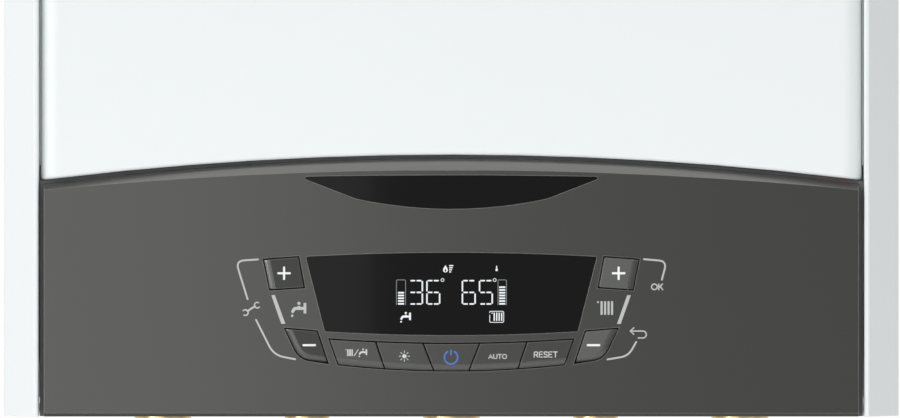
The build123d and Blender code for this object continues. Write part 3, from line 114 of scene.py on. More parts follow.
@dataclass
class Form:
    """A surface under construction: vertices (x, out, height), and faces anticlockwise seen from outside."""

    vertices: Array = field(default_factory=lambda: np.zeros((0, 3)))
    faces: list[tuple[int, ...]] = field(default_factory=list)

    def __add__(self, other: Form) -> Form:
        """Both surfaces in one, with the second's vertices numbered after the first's."""
        start = len(self.vertices)
        shifted = [tuple(index + start for index in face) for face in other.faces]
        return Form(np.concatenate([self.vertices, other.vertices]), self.faces + shifted)

    @staticmethod
    def stack(rings: Array, hollow: bool = False) -> Form:
        """Closed solid from rings of points.

        Args:
            rings: array (rings, points, 3), back ring first, each ring anticlockwise seen from the front.
            hollow: the last ring is joined to the first, and no face lies over the ends.

        Returns:
            Quads between neighbouring rings, and one face over each end.
        """
        number = np.arange(rings.shape[0] * rings.shape[1]).reshape(rings.shape[:2])
        near = np.stack([number, np.roll(number, -1, axis=1)], axis=-1)
        quads = np.concatenate([near, np.roll(near, -1, axis=0)[..., ::-1]], axis=-1)
        ends = [] if hollow else [tuple(number[-1].tolist()), tuple(number[0][::-1].tolist())]
        kept = (quads if hollow else quads[:-1]).reshape(-1, 4)
        return Form(rings.reshape(-1, 3), [tuple(quad) for quad in kept.tolist()] + ends)

    @staticmethod
    def plate(outline: Array, near: float, far: float) -> Form:
        """Flat plate between two distances from the wall, cut to an outline."""
        return Form.stack(np.stack([lifted(outline, near), lifted(outline, far)]))


def lifted(line: Array, out: float) -> Array:
    """Points (x, height) as points (x, out, height) at a distance from the wall."""
    return np.insert(np.asarray(line, float), 1, out, axis=1)


def band(outer: Array, inner: Array, near: float, far: float) -> Array:
    """The four edges of a band between two lines of as many points.

    Args:
        outer, inner: the two lines.
        near, far: distances from the wall of its back and front.

    Returns:
        Array (4, points, 3): outer back, outer front, inner front and inner back.
    """
    return np.stack([lifted(outer, near), lifted(outer, far), lifted(inner, far), lifted(inner, near)])


def unit(ways: Array) -> Array:
    """Directions brought to length one."""
    return ways / np.linalg.norm(ways, axis=-1, keepdims=True)


def left_of(ways: Array) -> Array:
    """Directions turned by a quarter to the left: (x, height) becomes (-height, x)."""
    return np.stack([-ways[..., 1], ways[..., 0]], axis=-1)


def curve(start: Array, handle: Array, finish: Array, share: Array) -> Array:
    """Quadratic curve: (1 - t) squared start, plus 2 t (1 - t) handle, plus t squared finish."""
    return (1 - share) ** 2 * start + 2 * share * (1 - share) * handle + share ** 2 * finish


class Outline:
    """Closed outline with bowed sides and rounded corners that can be drawn in."""

    def __init__(self, corners: Sequence[Point] | Array, bows: Array | float, radii: Array | float,
                 side_steps: int = 20, corner_steps: int = 7) -> None:
        """Hold the outline.

        Args:
            corners: corner points, anticlockwise.
            bows: how far each side bows outwards at its middle, from the corner of the same number.
            radii: rounding of each corner.
            side_steps, corner_steps: points on each side and each corner.
        """
        self.corners = np.asarray(corners, float)
        self.bows = np.broadcast_to(np.asarray(bows, float), len(self.corners))
        self.radii = np.broadcast_to(np.asarray(radii, float), len(self.corners))
        self.side_steps, self.corner_steps = side_steps, corner_steps

    def __call__(self, inset: float = 0.0) -> Array:
        """The outline drawn in by an inset, with as many points whatever the inset.

        A side runs from corner A to corner B as A + (B - A) t + n * bow * 4 t (1 - t), with n its outward
        normal. Drawing in moves a corner by the sum of its two sides' normals over one plus their dot product.
        A corner is the quadratic curve between the trimmed ends of its sides, with the corner itself as handle,
        and the trim is the radius times the tangent of half the turn.

        Args:
            inset: how far each side moves inwards.

        Returns:
            Array (points, 2), first the first corner's points, then its side's, and so on.
        """
        normal = -left_of(unit(np.roll(self.corners, -1, axis=0) - self.corners))
        before = np.roll(normal, 1, axis=0)
        agreement = np.sum(normal * before, axis=1)
        moved = self.corners - inset * (normal + before) / (1 + agreement)[:, None]
        side = np.roll(moved, -1, axis=0) - moved
        length = np.linalg.norm(side, axis=1)
        half_turn = np.sqrt(np.clip((1 - agreement) / (1 + agreement), 0, None))
        room = MOST_TRIM * np.minimum(length, np.roll(length, 1))
        trim = np.minimum(np.maximum(self.radii - inset, LEAST_RADIUS) * half_turn, room)
        first = trim / length
        last = 1 - np.roll(trim, -1) / length
        share = first[:, None] + (last - first)[:, None] * np.linspace(0, 1, self.side_steps)
        bulge = (self.bows[:, None] * 4 * share * (1 - share))[..., None]
        sides = moved[:, None] + side[:, None] * share[..., None] + normal[:, None] * bulge
        start = np.roll(sides[:, -1], 1, axis=0)[:, None]
        turn = np.linspace(0, 1, self.corner_steps + 2)[1:-1][None, :, None]
        bends = curve(start, moved[:, None], sides[:, :1], turn)
        return np.concatenate([bends, sides], axis=1).reshape(-1, 2)

    def mirrored(self) -> Outline:
        """The same outline on the other half of the front."""
        bows = np.roll(self.bows[::-1], -1)
        return Outline(self.corners[::-1] * np.array([-1.0, 1.0]), bows, self.radii[::-1])


def bent_line(points: Sequence[Point] | Array, radius: float, steps: int = 9) -> Array:
    """Open line through points, with each inner corner rounded.

    Each inner corner is the quadratic curve between the points that lie a trim before and after it, with the
    corner as handle. The trim is the radius times the tangent of half the turn, up to 0.48 of the shorter run.

    Args:
        points: corners of the line.
        radius: rounding of the inner corners.
        steps: points on each corner.

    Returns:
        Array (more points, 2).
    """
    points = np.asarray(points, float)
    run = np.diff(points, axis=0)
    length = np.linalg.norm(run, axis=1)
    way = unit(run)
    agreement = np.sum(way[:-1] * way[1:], axis=1)
    trim = radius * np.sqrt((1 - agreement) / (1 + agreement))
    trim = np.minimum(trim, MOST_TRIM * np.minimum(length[:-1], length[1:]))[:, None]
    before, corner, after = points[1:-1] - way[:-1] * trim, points[1:-1], points[1:-1] + way[1:] * trim
    share = np.linspace(0, 1, steps)[None, :, None]
    bends = curve(before[:, None], corner[:, None], after[:, None], share)
    return np.concatenate([points[:1], bends.reshape(-1, 2), points[-1:]])


def stroke(path: Sequence[Point] | Array, width: float, radius: float = 0.0, steps: int = 7) -> Array:
    """Outline of a line of even width with round ends.

    The two sides are the path moved by half the width along its normal, and the ends are half circles.

    Args:
        path: points of the line.
        width: the line's width.
        radius: rounding of its inner corners, if they have one.
        steps: points on each round end.

    Returns:
        Array (points, 2).
    """
    path = bent_line(path, radius) if radius else np.asarray(path, float)
    way = unit(np.gradient(path, axis=0))
    left = left_of(way)
    angle = np.linspace(-math.pi / 2, math.pi / 2, steps)[1:-1, None]
    half = width / 2
    tip = path[-1] + half * (np.cos(angle) * way[-1] + np.sin(angle) * left[-1])
    tail = path[0] - half * (np.cos(angle) * way[0] + np.sin(angle) * left[0])
    return np.concatenate([path - half * left, tip, (path + half * left)[::-1], tail])


def arc(x: float, height: float, radius: float, start: float, finish: float, steps: int = 24) -> Array:
    """Points on an arc: middle plus radius times cosine and sine of angles in degrees."""
    angle = np.radians(np.linspace(start, finish, steps))
    return np.stack([x + radius * np.cos(angle), height + radius * np.sin(angle)], axis=1)


def bar(start: Point, finish: Point, width: float) -> Array:
    """Outline of a straight line with square ends: its ends moved by half the width along its normal."""
    left = left_of(unit(np.subtract(finish, start))) * width / 2
    return np.array([start - left, finish - left, finish + left, start + left])


class Web:
    """Writes nodes into the tree of a material, a world or a group."""

    def __init__(self, tree: bpy.types.NodeTree) -> None:
        """Hold the tree's nodes and links."""
        self.nodes = tree.nodes
        self.links = tree.links

    def join(self, value: object, socket: Socket) -> None:
        """Link a socket, or set a value, on an input.

        Args:
            value: a socket or a value.
            socket: the input.
        """
        if isinstance(value, Socket):
            self.links.new(value, socket)
        else:
            socket.default_value = value

    def add(self, kind: str, settings: dict[str, object] | None = None, **inputs: object) -> bpy.types.Node:
        """One node, with its settings and its inputs.

        Args:
            kind: the node's type, without its common beginning.
            settings: its own properties.
            inputs: values or sockets, by input name with underscores for spaces, or by number after an x.

        Returns:
            The node.
        """
        node = self.nodes.new("ShaderNode" + kind)
        for key, value in (settings or {}).items():
            setattr(node, key, value)
        for key, value in inputs.items():
            number = key[1:]
            self.join(value, node.inputs[int(number) if number.isdigit() else key.replace("_", " ")])
        return node

    def math(self, operation: str, first: object, *others: object) -> Socket:
        """Result of an operation on values or sockets, taken one after another."""
        for other in others:
            first = self.add("Math", {"operation": operation}, x0=first, x1=other).outputs[0]
        return first

    def blend(self, share: object, first: object, second: object, way: str = "MIX") -> Socket:
        """Colour mixed from two by a share from 0 to 1."""
        settings = {"data_type": "RGBA", "blend_type": way}
        return self.add("Mix", settings, x0=share, x6=first, x7=second).outputs[2]

    def grey(self, level: object) -> Socket:
        """Grey of a level."""
        return self.add("CombineColor", x0=level, x1=level, x2=level).outputs[0]

    def noise(self, place: object, scale: object, detail: float) -> Socket:
        """Noise from 0 to 1 at a scale per metre."""
        return self.add("TexNoise", Vector=place, Scale=scale, Detail=detail).outputs["Fac"]


class Effect(Enum):
    """Effects that several finishes share, each a node group: its name, its inputs and its outputs."""

    GRAIN = ("moulded grain", ("Vector", "Scale", "Roughness", "Amount"), ("Height", "Roughness"))
    DRIFT = ("tone drift", ("Vector", "Scale", "Color", "Amount"), ("Color",))
    DUST = ("settled dust", ("Vector", "Color", "Roughness", "Amount"), ("Color", "Roughness"))
    # Edge lightening: partly wear, partly a painted highlight where edges catch the light.
    EDGES = ("handled edges", ("Color", "Roughness", "Radius", "Amount"), ("Color", "Roughness"))


GRAIN_DETAIL, DRIFT_DETAIL = 3.0, 1.0
UPWARD_FROM = 0.3  # upward part of the normal from which dust lies
DUST_SCALE, DUST_DETAIL = 60.0, 4.0
# Most lightening of an edge, which is partly wear and partly painted highlight.
MOST_EDGE_LIGHTENING = 0.5
# What lies over the colour and what it adds to the roughness; the edge veil is partly wear, partly painted
# highlight.
VEILS = {Effect.DUST: (tone(150, 146, 138), 0.4), Effect.EDGES: (tone(214, 214, 210), -0.2)}


@lru_cache(maxsize=None)
def effect_group(effect: Effect) -> bpy.types.NodeTree:
    """Node group of one shared effect, made at its first use.

    Grain gives a height from fine noise and shifts the roughness with it. Drift multiplies the colour by one
    plus slow noise. Dust covers what faces up, by the upward part of the normal times slow noise. Edges lighten
    where the normal rounded over the edge differs from the true one: partly wear, partly a painted highlight
    along the edges.

    Args:
        effect: which one.

    Returns:
        The node group, with the effect's inputs and outputs.
    """
    name, inputs, outputs = effect.value
    kinds = {"Vector": "NodeSocketVector", "Color": "NodeSocketColor"}
    tree = bpy.data.node_groups.new(name, "ShaderNodeTree")
    for way, labels in (("INPUT", inputs), ("OUTPUT", outputs)):
        for label in labels:
            tree.interface.new_socket(name=label, in_out=way, socket_type=kinds.get(label, "NodeSocketFloat"))
    web = Web(tree)
    source = tree.nodes.new("NodeGroupInput").outputs
    result = tree.nodes.new("NodeGroupOutput").inputs
    amount = source["Amount"]
    if effect in (Effect.GRAIN, Effect.DRIFT):
        detail = GRAIN_DETAIL if effect is Effect.GRAIN else DRIFT_DETAIL
        noise = web.noise(source["Vector"], source["Scale"], detail)
        swing = web.math("MULTIPLY", web.math("SUBTRACT", noise, 0.5), amount)
        if effect is Effect.GRAIN:
            web.join(noise, result["Height"])
            web.join(web.math("ADD", source["Roughness"], swing), result["Roughness"])
        else:
            tint = web.grey(web.math("ADD", swing, 1.0))
            web.join(web.blend(1.0, source["Color"], tint, "MULTIPLY"), result["Color"])
        return tree
    if effect is Effect.DUST:
        upward = web.add("SeparateXYZ", Vector=web.add("TexCoord").outputs["Normal"]).outputs["Z"]
        cover = web.math("MAXIMUM", web.math("SUBTRACT", upward, UPWARD_FROM), 0.0)
        patch = web.noise(source["Vector"], DUST_SCALE, DUST_DETAIL)
        mask = web.math("MINIMUM", web.math("MULTIPLY", cover, patch, amount), 1.0)
    else:
        # Edge lightening: partly wear, partly a painted highlight along the edges.
        rounded = web.add("Bevel", {"samples": 4}, Radius=source["Radius"]).outputs["Normal"]
        plain = web.add("NewGeometry").outputs["True Normal"]
        likeness = web.add("VectorMath", {"operation": "DOT_PRODUCT"}, x0=rounded, x1=plain).outputs["Value"]
        mask = web.math("MULTIPLY", web.math("SUBTRACT", 1.0, likeness), amount)
        mask = web.math("MINIMUM", web.math("MAXIMUM", mask, 0.0), MOST_EDGE_LIGHTENING)
    veil, rougher = VEILS[effect]
    web.join(web.blend(mask, source["Color"], veil), result["Color"])
    web.join(web.math("ADD", source["Roughness"], web.math("MULTIPLY", mask, rougher)), result["Roughness"])
    return tree


class Shade(Web):
    """Writes one procedural material round its Principled shader."""

    def __init__(self, name: str) -> None:
        """Start a material of a name, with object coordinates at hand."""
        self.material = bpy.data.materials.new(name)
        self.material.use_nodes = True
        super().__init__(self.material.node_tree)
        self.shader = self.nodes["Principled BSDF"]
        self.place = self.add("TexCoord").outputs["Object"]

    def feed(self, **values: object) -> None:
        """Set or link inputs of the Principled shader, named with underscores for spaces."""
        for key, value in values.items():
            self.join(value, self.shader.inputs[key.replace("_", " ")])

    def effect(self, effect: Effect, **inputs: object) -> bpy.types.NodeOutputs:
        """Lay a shared effect over inputs, at the object's coordinates.

        Args:
            effect: which one.
            inputs: values or sockets, by input name.

        Returns:
            Its outputs.
        """
        node = self.nodes.new("ShaderNodeGroup")
        node.node_tree = effect_group(effect)
        if "Vector" in node.inputs:
            inputs["Vector"] = self.place
        for key, value in inputs.items():
            self.join(value, node.inputs[key])
        return node.outputs

    def bump(self, height: Socket, depth: float) -> None:
        """Raise the surface by a height from 0 to 1 times a depth in metres."""
        self.feed(Normal=self.add("Bump", Strength=1.0, Distance=depth, Height=height).outputs["Normal"])

    def stretched(self, scales: Place) -> Socket:
        """Object coordinates scaled along each axis."""
        return self.add("Mapping", x1=(0.0, 0.0, 0.0), x3=scales, Vector=self.place).outputs["Vector"]


@dataclass(frozen=True)
class Finish:
    """One finish: its colour, its gloss and the amounts of the shared effects on it."""

    name: str
    colour: Colour
    roughness: float = 0.5
    metallic: float = 0.0
    specular: float = 0.5
    drift: float = 0.06
    dust: float = 0.0
    # Amount of edge lightening: partly wear, partly painted highlight.
    edges: float = 0.0
    grain_scale: float = 1500.0
    grain_depth: float = 0.0
    grain_shift: float = 0.06
    drift_scale: float = 9.0
    edge_radius: float = 0.0006

    def surface(self, shade: Shade) -> Socket | Colour:
        """Colour of the finish before the shared effects; plain here."""
        return self.colour

    def darker(self, share: float) -> Colour:
        """The colour times a share."""
        return (*(part * share for part in self.colour[:3]), 1.0)

    def material(self) -> bpy.types.Material:
        """Material of the finish.

        Returns:
            The material, made at its first use.
        """
        found = bpy.data.materials.get(self.name)
        if found is not None:
            return found
        shade = Shade(self.name)
        self.write(shade)
        return shade.material

    def write(self, shade: Shade) -> None:
        """Fill a new material: the plain surface, then the shared effects one over the other.

        Args:
            shade: writer of the material.
        """
        colour, rough = self.surface(shade), self.roughness
        if self.drift:
            colour = shade.effect(Effect.DRIFT, Scale=self.drift_scale, Color=colour, Amount=self.drift)[0]
        if self.grain_shift or self.grain_depth:
            height, rough = shade.effect(Effect.GRAIN, Scale=self.grain_scale, Roughness=rough,
                                         Amount=self.grain_shift)[:2]
            if self.grain_depth:
                shade.bump(height, self.grain_depth)
        # Lighten the edges: partly wear, partly a painted highlight.
        if self.edges:
            colour, rough = shade.effect(Effect.EDGES, Color=colour, Roughness=rough,
                                         Radius=self.edge_radius, Amount=self.edges)[:2]
        if self.dust:
            colour, rough = shade.effect(Effect.DUST, Color=colour, Roughness=rough, Amount=self.dust)[:2]
        shade.feed(Base_Color=colour, Roughness=rough, Metallic=self.metallic, Specular_IOR_Level=self.specular)


@dataclass(frozen=True)
class Spangle(Finish):
    """Zinc coating: cells of lighter and darker grey."""

    cell: float = 130.0
    dark: float = 0.82

    def surface(self, shade: Shade) -> Socket:
        """Grey whose tone steps from cell to cell."""
        cells = shade.add("TexVoronoi", Vector=shade.place, Scale=self.cell).outputs["Color"]
        level = shade.add("SeparateColor", x0=cells).outputs[0]
        return shade.blend(level, self.darker(self.dark), self.colour)


@dataclass(frozen=True)
class Drawn(Finish):
    """Drawn or turned metal: fine lines round or along the piece."""

    lines: Place = (400.0, 400.0, 12.0)
    dark: float = 0.78

    def surface(self, shade: Shade) -> Socket:
        """Tone varied by noise stretched along one axis."""
        level = shade.noise(shade.stretched(self.lines), 1.0, GRAIN_DETAIL)
        return shade.blend(level, self.darker(self.dark), self.colour)


@dataclass(frozen=True)
class Board(Finish):
    """Circuit board: green lacquer with paler tracks and bare pads."""

    track_level: float = 0.82
    track: Colour = tone(46, 120, 74)

    def surface(self, shade: Shade) -> Socket:
        """Lacquer with tracks where a distorted wave passes a level."""
        wave = shade.add("TexWave", {"bands_direction": "DIAGONAL"}, Vector=shade.place, Scale=90.0,
                         Distortion=9.0, Detail=1.0, Detail_Scale=2.0).outputs["Fac"]
        return shade.blend(shade.math("GREATER_THAN", wave, self.track_level), self.colour, self.track)


@dataclass(frozen=True)
class Ink(Finish):
    """Printed mark."""

    drift: float = 0.0
    grain_shift: float = 0.0


@dataclass(frozen=True)
class Lit(Finish):
    """Lit segment of the display."""

    strength: float = 0.5

    def write(self, shade: Shade) -> None:
        """Fill a new material that shines in the segment's colour."""
        shade.feed(Base_Color=(0.02, 0.02, 0.02, 1.0), Roughness=0.4, Emission_Color=self.colour,
                   Emission_Strength=self.strength)


# An edges amount lightens edges, partly as wear and partly as a painted highlight.
SLOT_FINISHES = {
    "painted_white": Finish("white paint", (0.83, 0.866, 0.872, 1.0), 0.42, specular=0.16, drift=0.012,
                            grain_scale=900.0, grain_depth=0.00001, grain_shift=0.04, dust=0.05),
    "galvanised_steel": Spangle("galvanised sheet", (0.56, 0.57, 0.58, 1.0), 0.42, metallic=0.85, dust=0.5),
    "zinc_screw": Finish("blackened zinc", (0.07, 0.07, 0.072, 1.0), 0.36, metallic=1.0, edges=0.6),
    "warm_grey_plastic": Finish("warm grey plastic", (0.0355, 0.036, 0.0325, 1.0), 0.24, drift=0.03,
                                grain_scale=2600.0, grain_depth=0.000004, grain_shift=0.05,
                                dust=0.12, edges=1.4),
    "key_plastic": Finish("key plastic", (0.041, 0.0425, 0.0395, 1.0), 0.18, drift=0.02,
                          grain_scale=2600.0, grain_depth=0.000003, grain_shift=0.03, edges=0.8),
    "gloss_black": Finish("gloss black plastic", (0.0085, 0.0084, 0.0088, 1.0), 0.06, specular=0.08, drift=0.0,
                          grain_shift=0.02),
    "black_plastic": Finish("black plastic", (0.022, 0.022, 0.024, 1.0), 0.48, grain_scale=1800.0,
                            grain_depth=0.00001, dust=0.6, edges=0.4),
    "board_green": Board("circuit board", tone(24, 84, 48), 0.35),
    "display_glass": Finish("display glass", (0.01, 0.011, 0.012, 1.0), 0.08),
    "grey_rubber": Finish("grey rubber", (0.16, 0.16, 0.155, 1.0), 0.7, specular=0.3,
                          grain_depth=0.00001, dust=0.8),
    "red_paint": Finish("red paint", (0.42, 0.028, 0.02, 1.0), 0.4, grain_scale=700.0, grain_depth=0.00002,
                        dust=0.7, edges=0.3),
    "stainless": Drawn("stainless steel", (0.6, 0.59, 0.57, 1.0), 0.28, metallic=1.0),
    "cast_aluminium": Finish("cast aluminium", (0.5, 0.5, 0.5, 1.0), 0.52, metallic=0.9, grain_scale=600.0,
                             grain_depth=0.00008, grain_shift=0.2, dust=0.4, edges=0.4),
    "electrode_steel": Finish("electrode steel", (0.42, 0.4, 0.37, 1.0), 0.4, metallic=1.0),
    "copper": Drawn("copper", (0.72, 0.36, 0.22, 1.0), 0.3, metallic=1.0, lines=(60.0, 60.0, 20.0), drift=0.25),
    "brass": Drawn("brass", (0.68, 0.5, 0.24, 1.0), 0.28, metallic=1.0, lines=(60.0, 60.0, 900.0), edges=0.5),
    "cast_iron": Finish("cast iron", (0.06, 0.062, 0.065, 1.0), 0.62, metallic=0.3, grain_scale=500.0,
                        grain_depth=0.0001, grain_shift=0.2, dust=0.5, edges=0.5),
    "light_plastic": Finish("light plastic", (0.66, 0.66, 0.63, 1.0), 0.45, grain_depth=0.00001, dust=0.4),
    "knob_red": Finish("red knob", (0.45, 0.02, 0.02, 1.0), 0.35, edges=0.4),
    "knob_black": Finish("black knob", (0.02, 0.02, 0.022, 1.0), 0.42, edges=0.4),
}
PRINT = Ink("grey print", tone(180, 183, 180), 0.5)
SIGN_PRINT = Ink("white print", tone(232, 234, 233), 0.5)
KEY_PRINT = Ink("key print", tone(200, 203, 201), 0.5)
BLUE_PRINT = Ink("blue print", tone(58, 108, 184), 0.45)
LIT_WHITE = Lit("lit segment", (0.93, 0.97, 1.0, 1.0), strength=0.86)
LIT_DIM = Lit("dim segment", (0.93, 0.97, 1.0, 1.0), strength=0.2)
# Pale sheet set in the side seams: painted light that lifts the seams' shade.
PAINTED_SEAM_LIGHT = Finish("painted seam light", (0.78, 0.8, 0.8, 1.0), 0.9, specular=0.2, grain_depth=0.00002)
# Dark sheet set in the gap round the fascia: painted shade.
PAINTED_GAP_SHADE = Finish("painted gap shade", (0.16, 0.168, 0.17, 1.0), 0.9, specular=0.2, grain_depth=0.00002)


def placed(name: str, data: bpy.types.ID) -> bpy.types.Object:
    """New object of the scene that holds a mesh, a light or a camera."""
    thing = bpy.data.objects.new(name, data)
    bpy.context.collection.objects.link(thing)
    return thing


def make_piece(name: str, form: Form, finish: Finish, body: str,
               smooth: float = 0.6) -> bpy.types.Object:
    """Put a form into the scene as one object that rides a body.

    Args:
        name: the object's name.
        form: surface in millimetres of the front drawing.
        finish: its finish.
        body: the moving body that carries it.
        smooth: edges that turn by more than this angle in radians stay sharp.

    Returns:
        The object, with vertices in metres: x, minus the distance from the wall, and the height less that of
        the wall screws.
    """
    x, out, height = form.vertices.T * MM
    places = np.stack([x, -out, height - Studio.screw_height], axis=1)
    mesh = bpy.data.meshes.new(name)
    mesh.from_pydata(places.tolist(), [], form.faces)
    mesh.update()
    mesh.polygons.foreach_set("use_smooth", np.ones(len(mesh.polygons), bool))
    mesh.set_sharp_from_angle(angle=smooth)
    mesh.materials.append(finish.material())
    piece = placed(name, mesh)
    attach(piece, body)
    LOG.info("%s: %d faces, finish %s, on %s", name, len(mesh.polygons), finish.name, body)
    return piece


@dataclass(frozen=True)
class Card:
    """Bright sheet for reflections: its place, size and radiance, and whether it lights matt surfaces too."""

    name: str
    place: Place
    size: Point
    radiance: float
    lights: bool = False

    @property
    def power(self) -> float:
        """Lamp power: radiance times pi times the area."""
        return self.radiance * math.pi * self.size[0] * self.size[1]


@dataclass(frozen=True)
class Studio:
    """Camera, backdrop and lights, with lengths in metres."""

    screw_height: float = 0.712
    front: float = 0.3178
    lens: float = 500.0
    sensor: float = 36.0
    sight: float = 50.0
    seen_width: float = 0.4006
    eye_x: float = -0.0006
    eye_height: float = -0.6196
    floor: float = -1.15
    floor_half: float = 6.0
    key_place: Place = (-2.5, -2.3, 1.2)
    key_target: Place = (0.0, -0.2, -0.5)
    key_size: Point = (2.2, 2.2)
    key_power: float = 63.0
    ambient: float = 0.53
    ambient_rise: float = 0.1
    card_height: float = -0.62
    card_lean: float = 0.1
    cards: tuple[Card, ...] = (
        Card("left reflection", (-0.46, -1.35, -0.6), (0.9, 1.2), 1.75),
        Card("overhead reflection", (0.0, -0.71, 0.205), (1.0, 0.6), 3.3),
        Card("left edge reflection", (-0.88, -0.98, -0.63), (0.5, 0.36), 11.0),
        Card("right edge reflection", (0.93, -0.86, -0.55), (0.4, 0.36), 2.2, True),
        Card("lower fill", (0.0, -0.72, -1.09), (0.9, 0.45), 1.15, True),
    )

    def build(self) -> None:
        """Set up everything that isn't part of the boiler."""
        bpy.context.scene.view_settings.view_transform = "Standard"
        self.camera()
        self.backdrop()
        key = self.lamp("key light", self.key_place, self.key_target, self.key_size, self.key_power)
        key.visible_glossy = False
        for card in self.cards:
            target = (card.place[0] * self.card_lean, -self.front, self.card_height)
            lamp = self.lamp(card.name, card.place, target, card.size, card.power)
            lamp.visible_diffuse = card.lights
        self.ground()

    def camera(self) -> None:
        """Long lens straight on, as far off as the seen width times the lens over the sensor's width."""
        data = bpy.data.cameras.new("camera")
        data.lens = self.lens
        data.sensor_width = self.sensor
        data.clip_end = self.sight
        camera = placed("camera", data)
        distance = self.seen_width * self.lens / self.sensor
        camera.location = (self.eye_x, -self.front - distance, self.eye_height)
        camera.rotation_euler = (math.pi / 2, 0.0, 0.0)
        bpy.context.scene.camera = camera

    def lamp(self, name: str, place: Place, target: Place, size: Point, power: float) -> bpy.types.Object:
        """Soft rectangular lamp that faces a target and isn't itself seen.

        Args:
            name: its name.
            place, target: where it stands and what it faces.
            size: width and height.
            power: in watts.

        Returns:
            The lamp.
        """
        data = bpy.data.lights.new(name, "AREA")
        data.shape = "RECTANGLE"
        data.size, data.size_y = size
        data.energy = power
        lamp = placed(name, data)
        lamp.location = place
        lamp.rotation_euler = (Vector(target) - Vector(place)).to_track_quat("-Z", "Y").to_euler()
        lamp.visible_camera = False
        return lamp

    def backdrop(self) -> None:
        """White behind the boiler for the camera and for reflections, and a soft studio in front of it."""
        world = bpy.data.worlds.new("studio")
        world.use_nodes = True
        bpy.context.scene.world = world
        web = Web(world.node_tree)
        shader = web.nodes["Background"]
        way = web.add("SeparateXYZ", Vector=web.add("NewGeometry").outputs["Incoming"]).outputs
        into_wall = web.math("LESS_THAN", way["Y"], 0.0)
        height = web.math("MULTIPLY", way["Z"], -1.0)
        front = web.math("ADD", self.ambient, web.math("MULTIPLY", height, self.ambient_rise))
        rays = web.add("LightPath").outputs
        reflected = web.math("MAXIMUM", rays["Is Glossy Ray"], rays["Is Transmission Ray"])
        white = web.math("MAXIMUM", rays["Is Camera Ray"], web.math("MULTIPLY", reflected, into_wall))
        web.join(web.blend(white, web.grey(front), (1.0, 1.0, 1.0, 1.0)), shader.inputs["Color"])
        web.join(1.0, shader.inputs["Strength"])

    def ground(self) -> None:
        """Pale floor far below the boiler."""
        half, level = self.floor_half, self.floor
        corners = [(-half, -half, level), (half, -half, level), (half, half, level), (-half, half, level)]
        mesh = bpy.data.meshes.new("floor")
        mesh.from_pydata(corners, [], [(0, 1, 2, 3)])
        mesh.materials.append(Ink("floor", (0.8, 0.8, 0.8, 1.0), 0.9).material())
        floor = placed("floor", mesh)


@dataclass
class PackedSolids:
    """The boiler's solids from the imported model, with a finish each."""

    frame: dict
    eased: tuple[str, ...] = ("fascia", "front_panel", "side_panel_left", "side_panel_right")
    edge_round: float = 0.0003
    weld: float = 0.000001
    flat_angle: float = 0.01
    edge_angle: float = 0.5

    def build(self) -> None:
        """Give each solid its slot's finish, and round the outer edges of those seen first."""
        for part in self.frame["record"]["subparts"]:
            node, slot = part["node"], part["material_slot"]
            solid = bpy.data.objects[node]
            solid.data.materials[0] = SLOT_FINISHES[slot].material()
            if node in self.eased:
                self.ease(solid)
            LOG.info("%s: %s", node, SLOT_FINISHES[slot].name)

    def ease(self, solid: bpy.types.Object) -> None:
        """Join a solid's loose triangles, merge flat ones and round its edges.

        Args:
            solid: the object.
        """
        steps = {
            "WELD": {"merge_threshold": self.weld},
            "DECIMATE": {"decimate_type": "DISSOLVE", "angle_limit": self.flat_angle},
            "BEVEL": {"width": self.edge_round, "segments": 2, "limit_method": "ANGLE",
                      "angle_limit": self.edge_angle},
        }
        for kind, settings in steps.items():
            modifier = solid.modifiers.new(kind.lower(), kind)
            for key, value in settings.items():
                setattr(modifier, key, value)


@dataclass(frozen=True)
class Bow:
    """Shallow arc of the front drawing: half its width, height of its ends and of its middle."""

    half: float
    end: float
    middle: float

    def height(self, x: Array, shift: float = 0.0) -> Array:
        """Height at x: middle plus (end - middle) (x / half) squared, plus a shift."""
        return self.middle + (self.end - self.middle) * (np.asarray(x) / self.half) ** 2 + shift

    def sag(self, width: float) -> float:
        """How far the arc leaves its chord over a width, upwards where positive."""
        return -(self.end - self.middle) / self.half ** 2 * width ** 2 / 4


@dataclass(frozen=True)
class Mould:
    """How a moulded plate or key is rounded and how far it reaches."""

    back: float
    level: float
    head: float
    edge: float
    rim: float = 0.12
    steps: int = 5

    def form(self, base: Callable[[float], Array], crown: Callable[[float], Array]) -> Form:
        """Closed solid from a base outline to the outline of its head.

        The wall stands from the back to the level, leans from the base outline to the crown outline, and ends
        in a quarter round: inset by edge (1 - cos a) and edge (1 - sin a) short of the head, with a from 0 to
        90 degrees. A last ring inside keeps the flat front flat.

        Args:
            base, crown: the two outlines, each for any inset.

        Returns:
            The solid.
        """
        angle = np.linspace(0, math.pi / 2, self.steps)
        insets = self.edge * (1 - np.cos(angle))
        outs = self.head - self.edge * (1 - np.sin(angle))
        lean = (outs[0] - self.level) / (self.head - self.level)
        rings = [lifted(base(0.0), self.back), lifted(base(0.0), self.level),
                 lifted(base(0.0) * (1 - lean) + crown(0.0) * lean, outs[0])]
        rings += [lifted(crown(inset), out) for inset, out in zip(insets, outs)]
        rings.append(lifted(crown(self.edge + self.rim), self.head))
        return Form.stack(np.stack(rings))


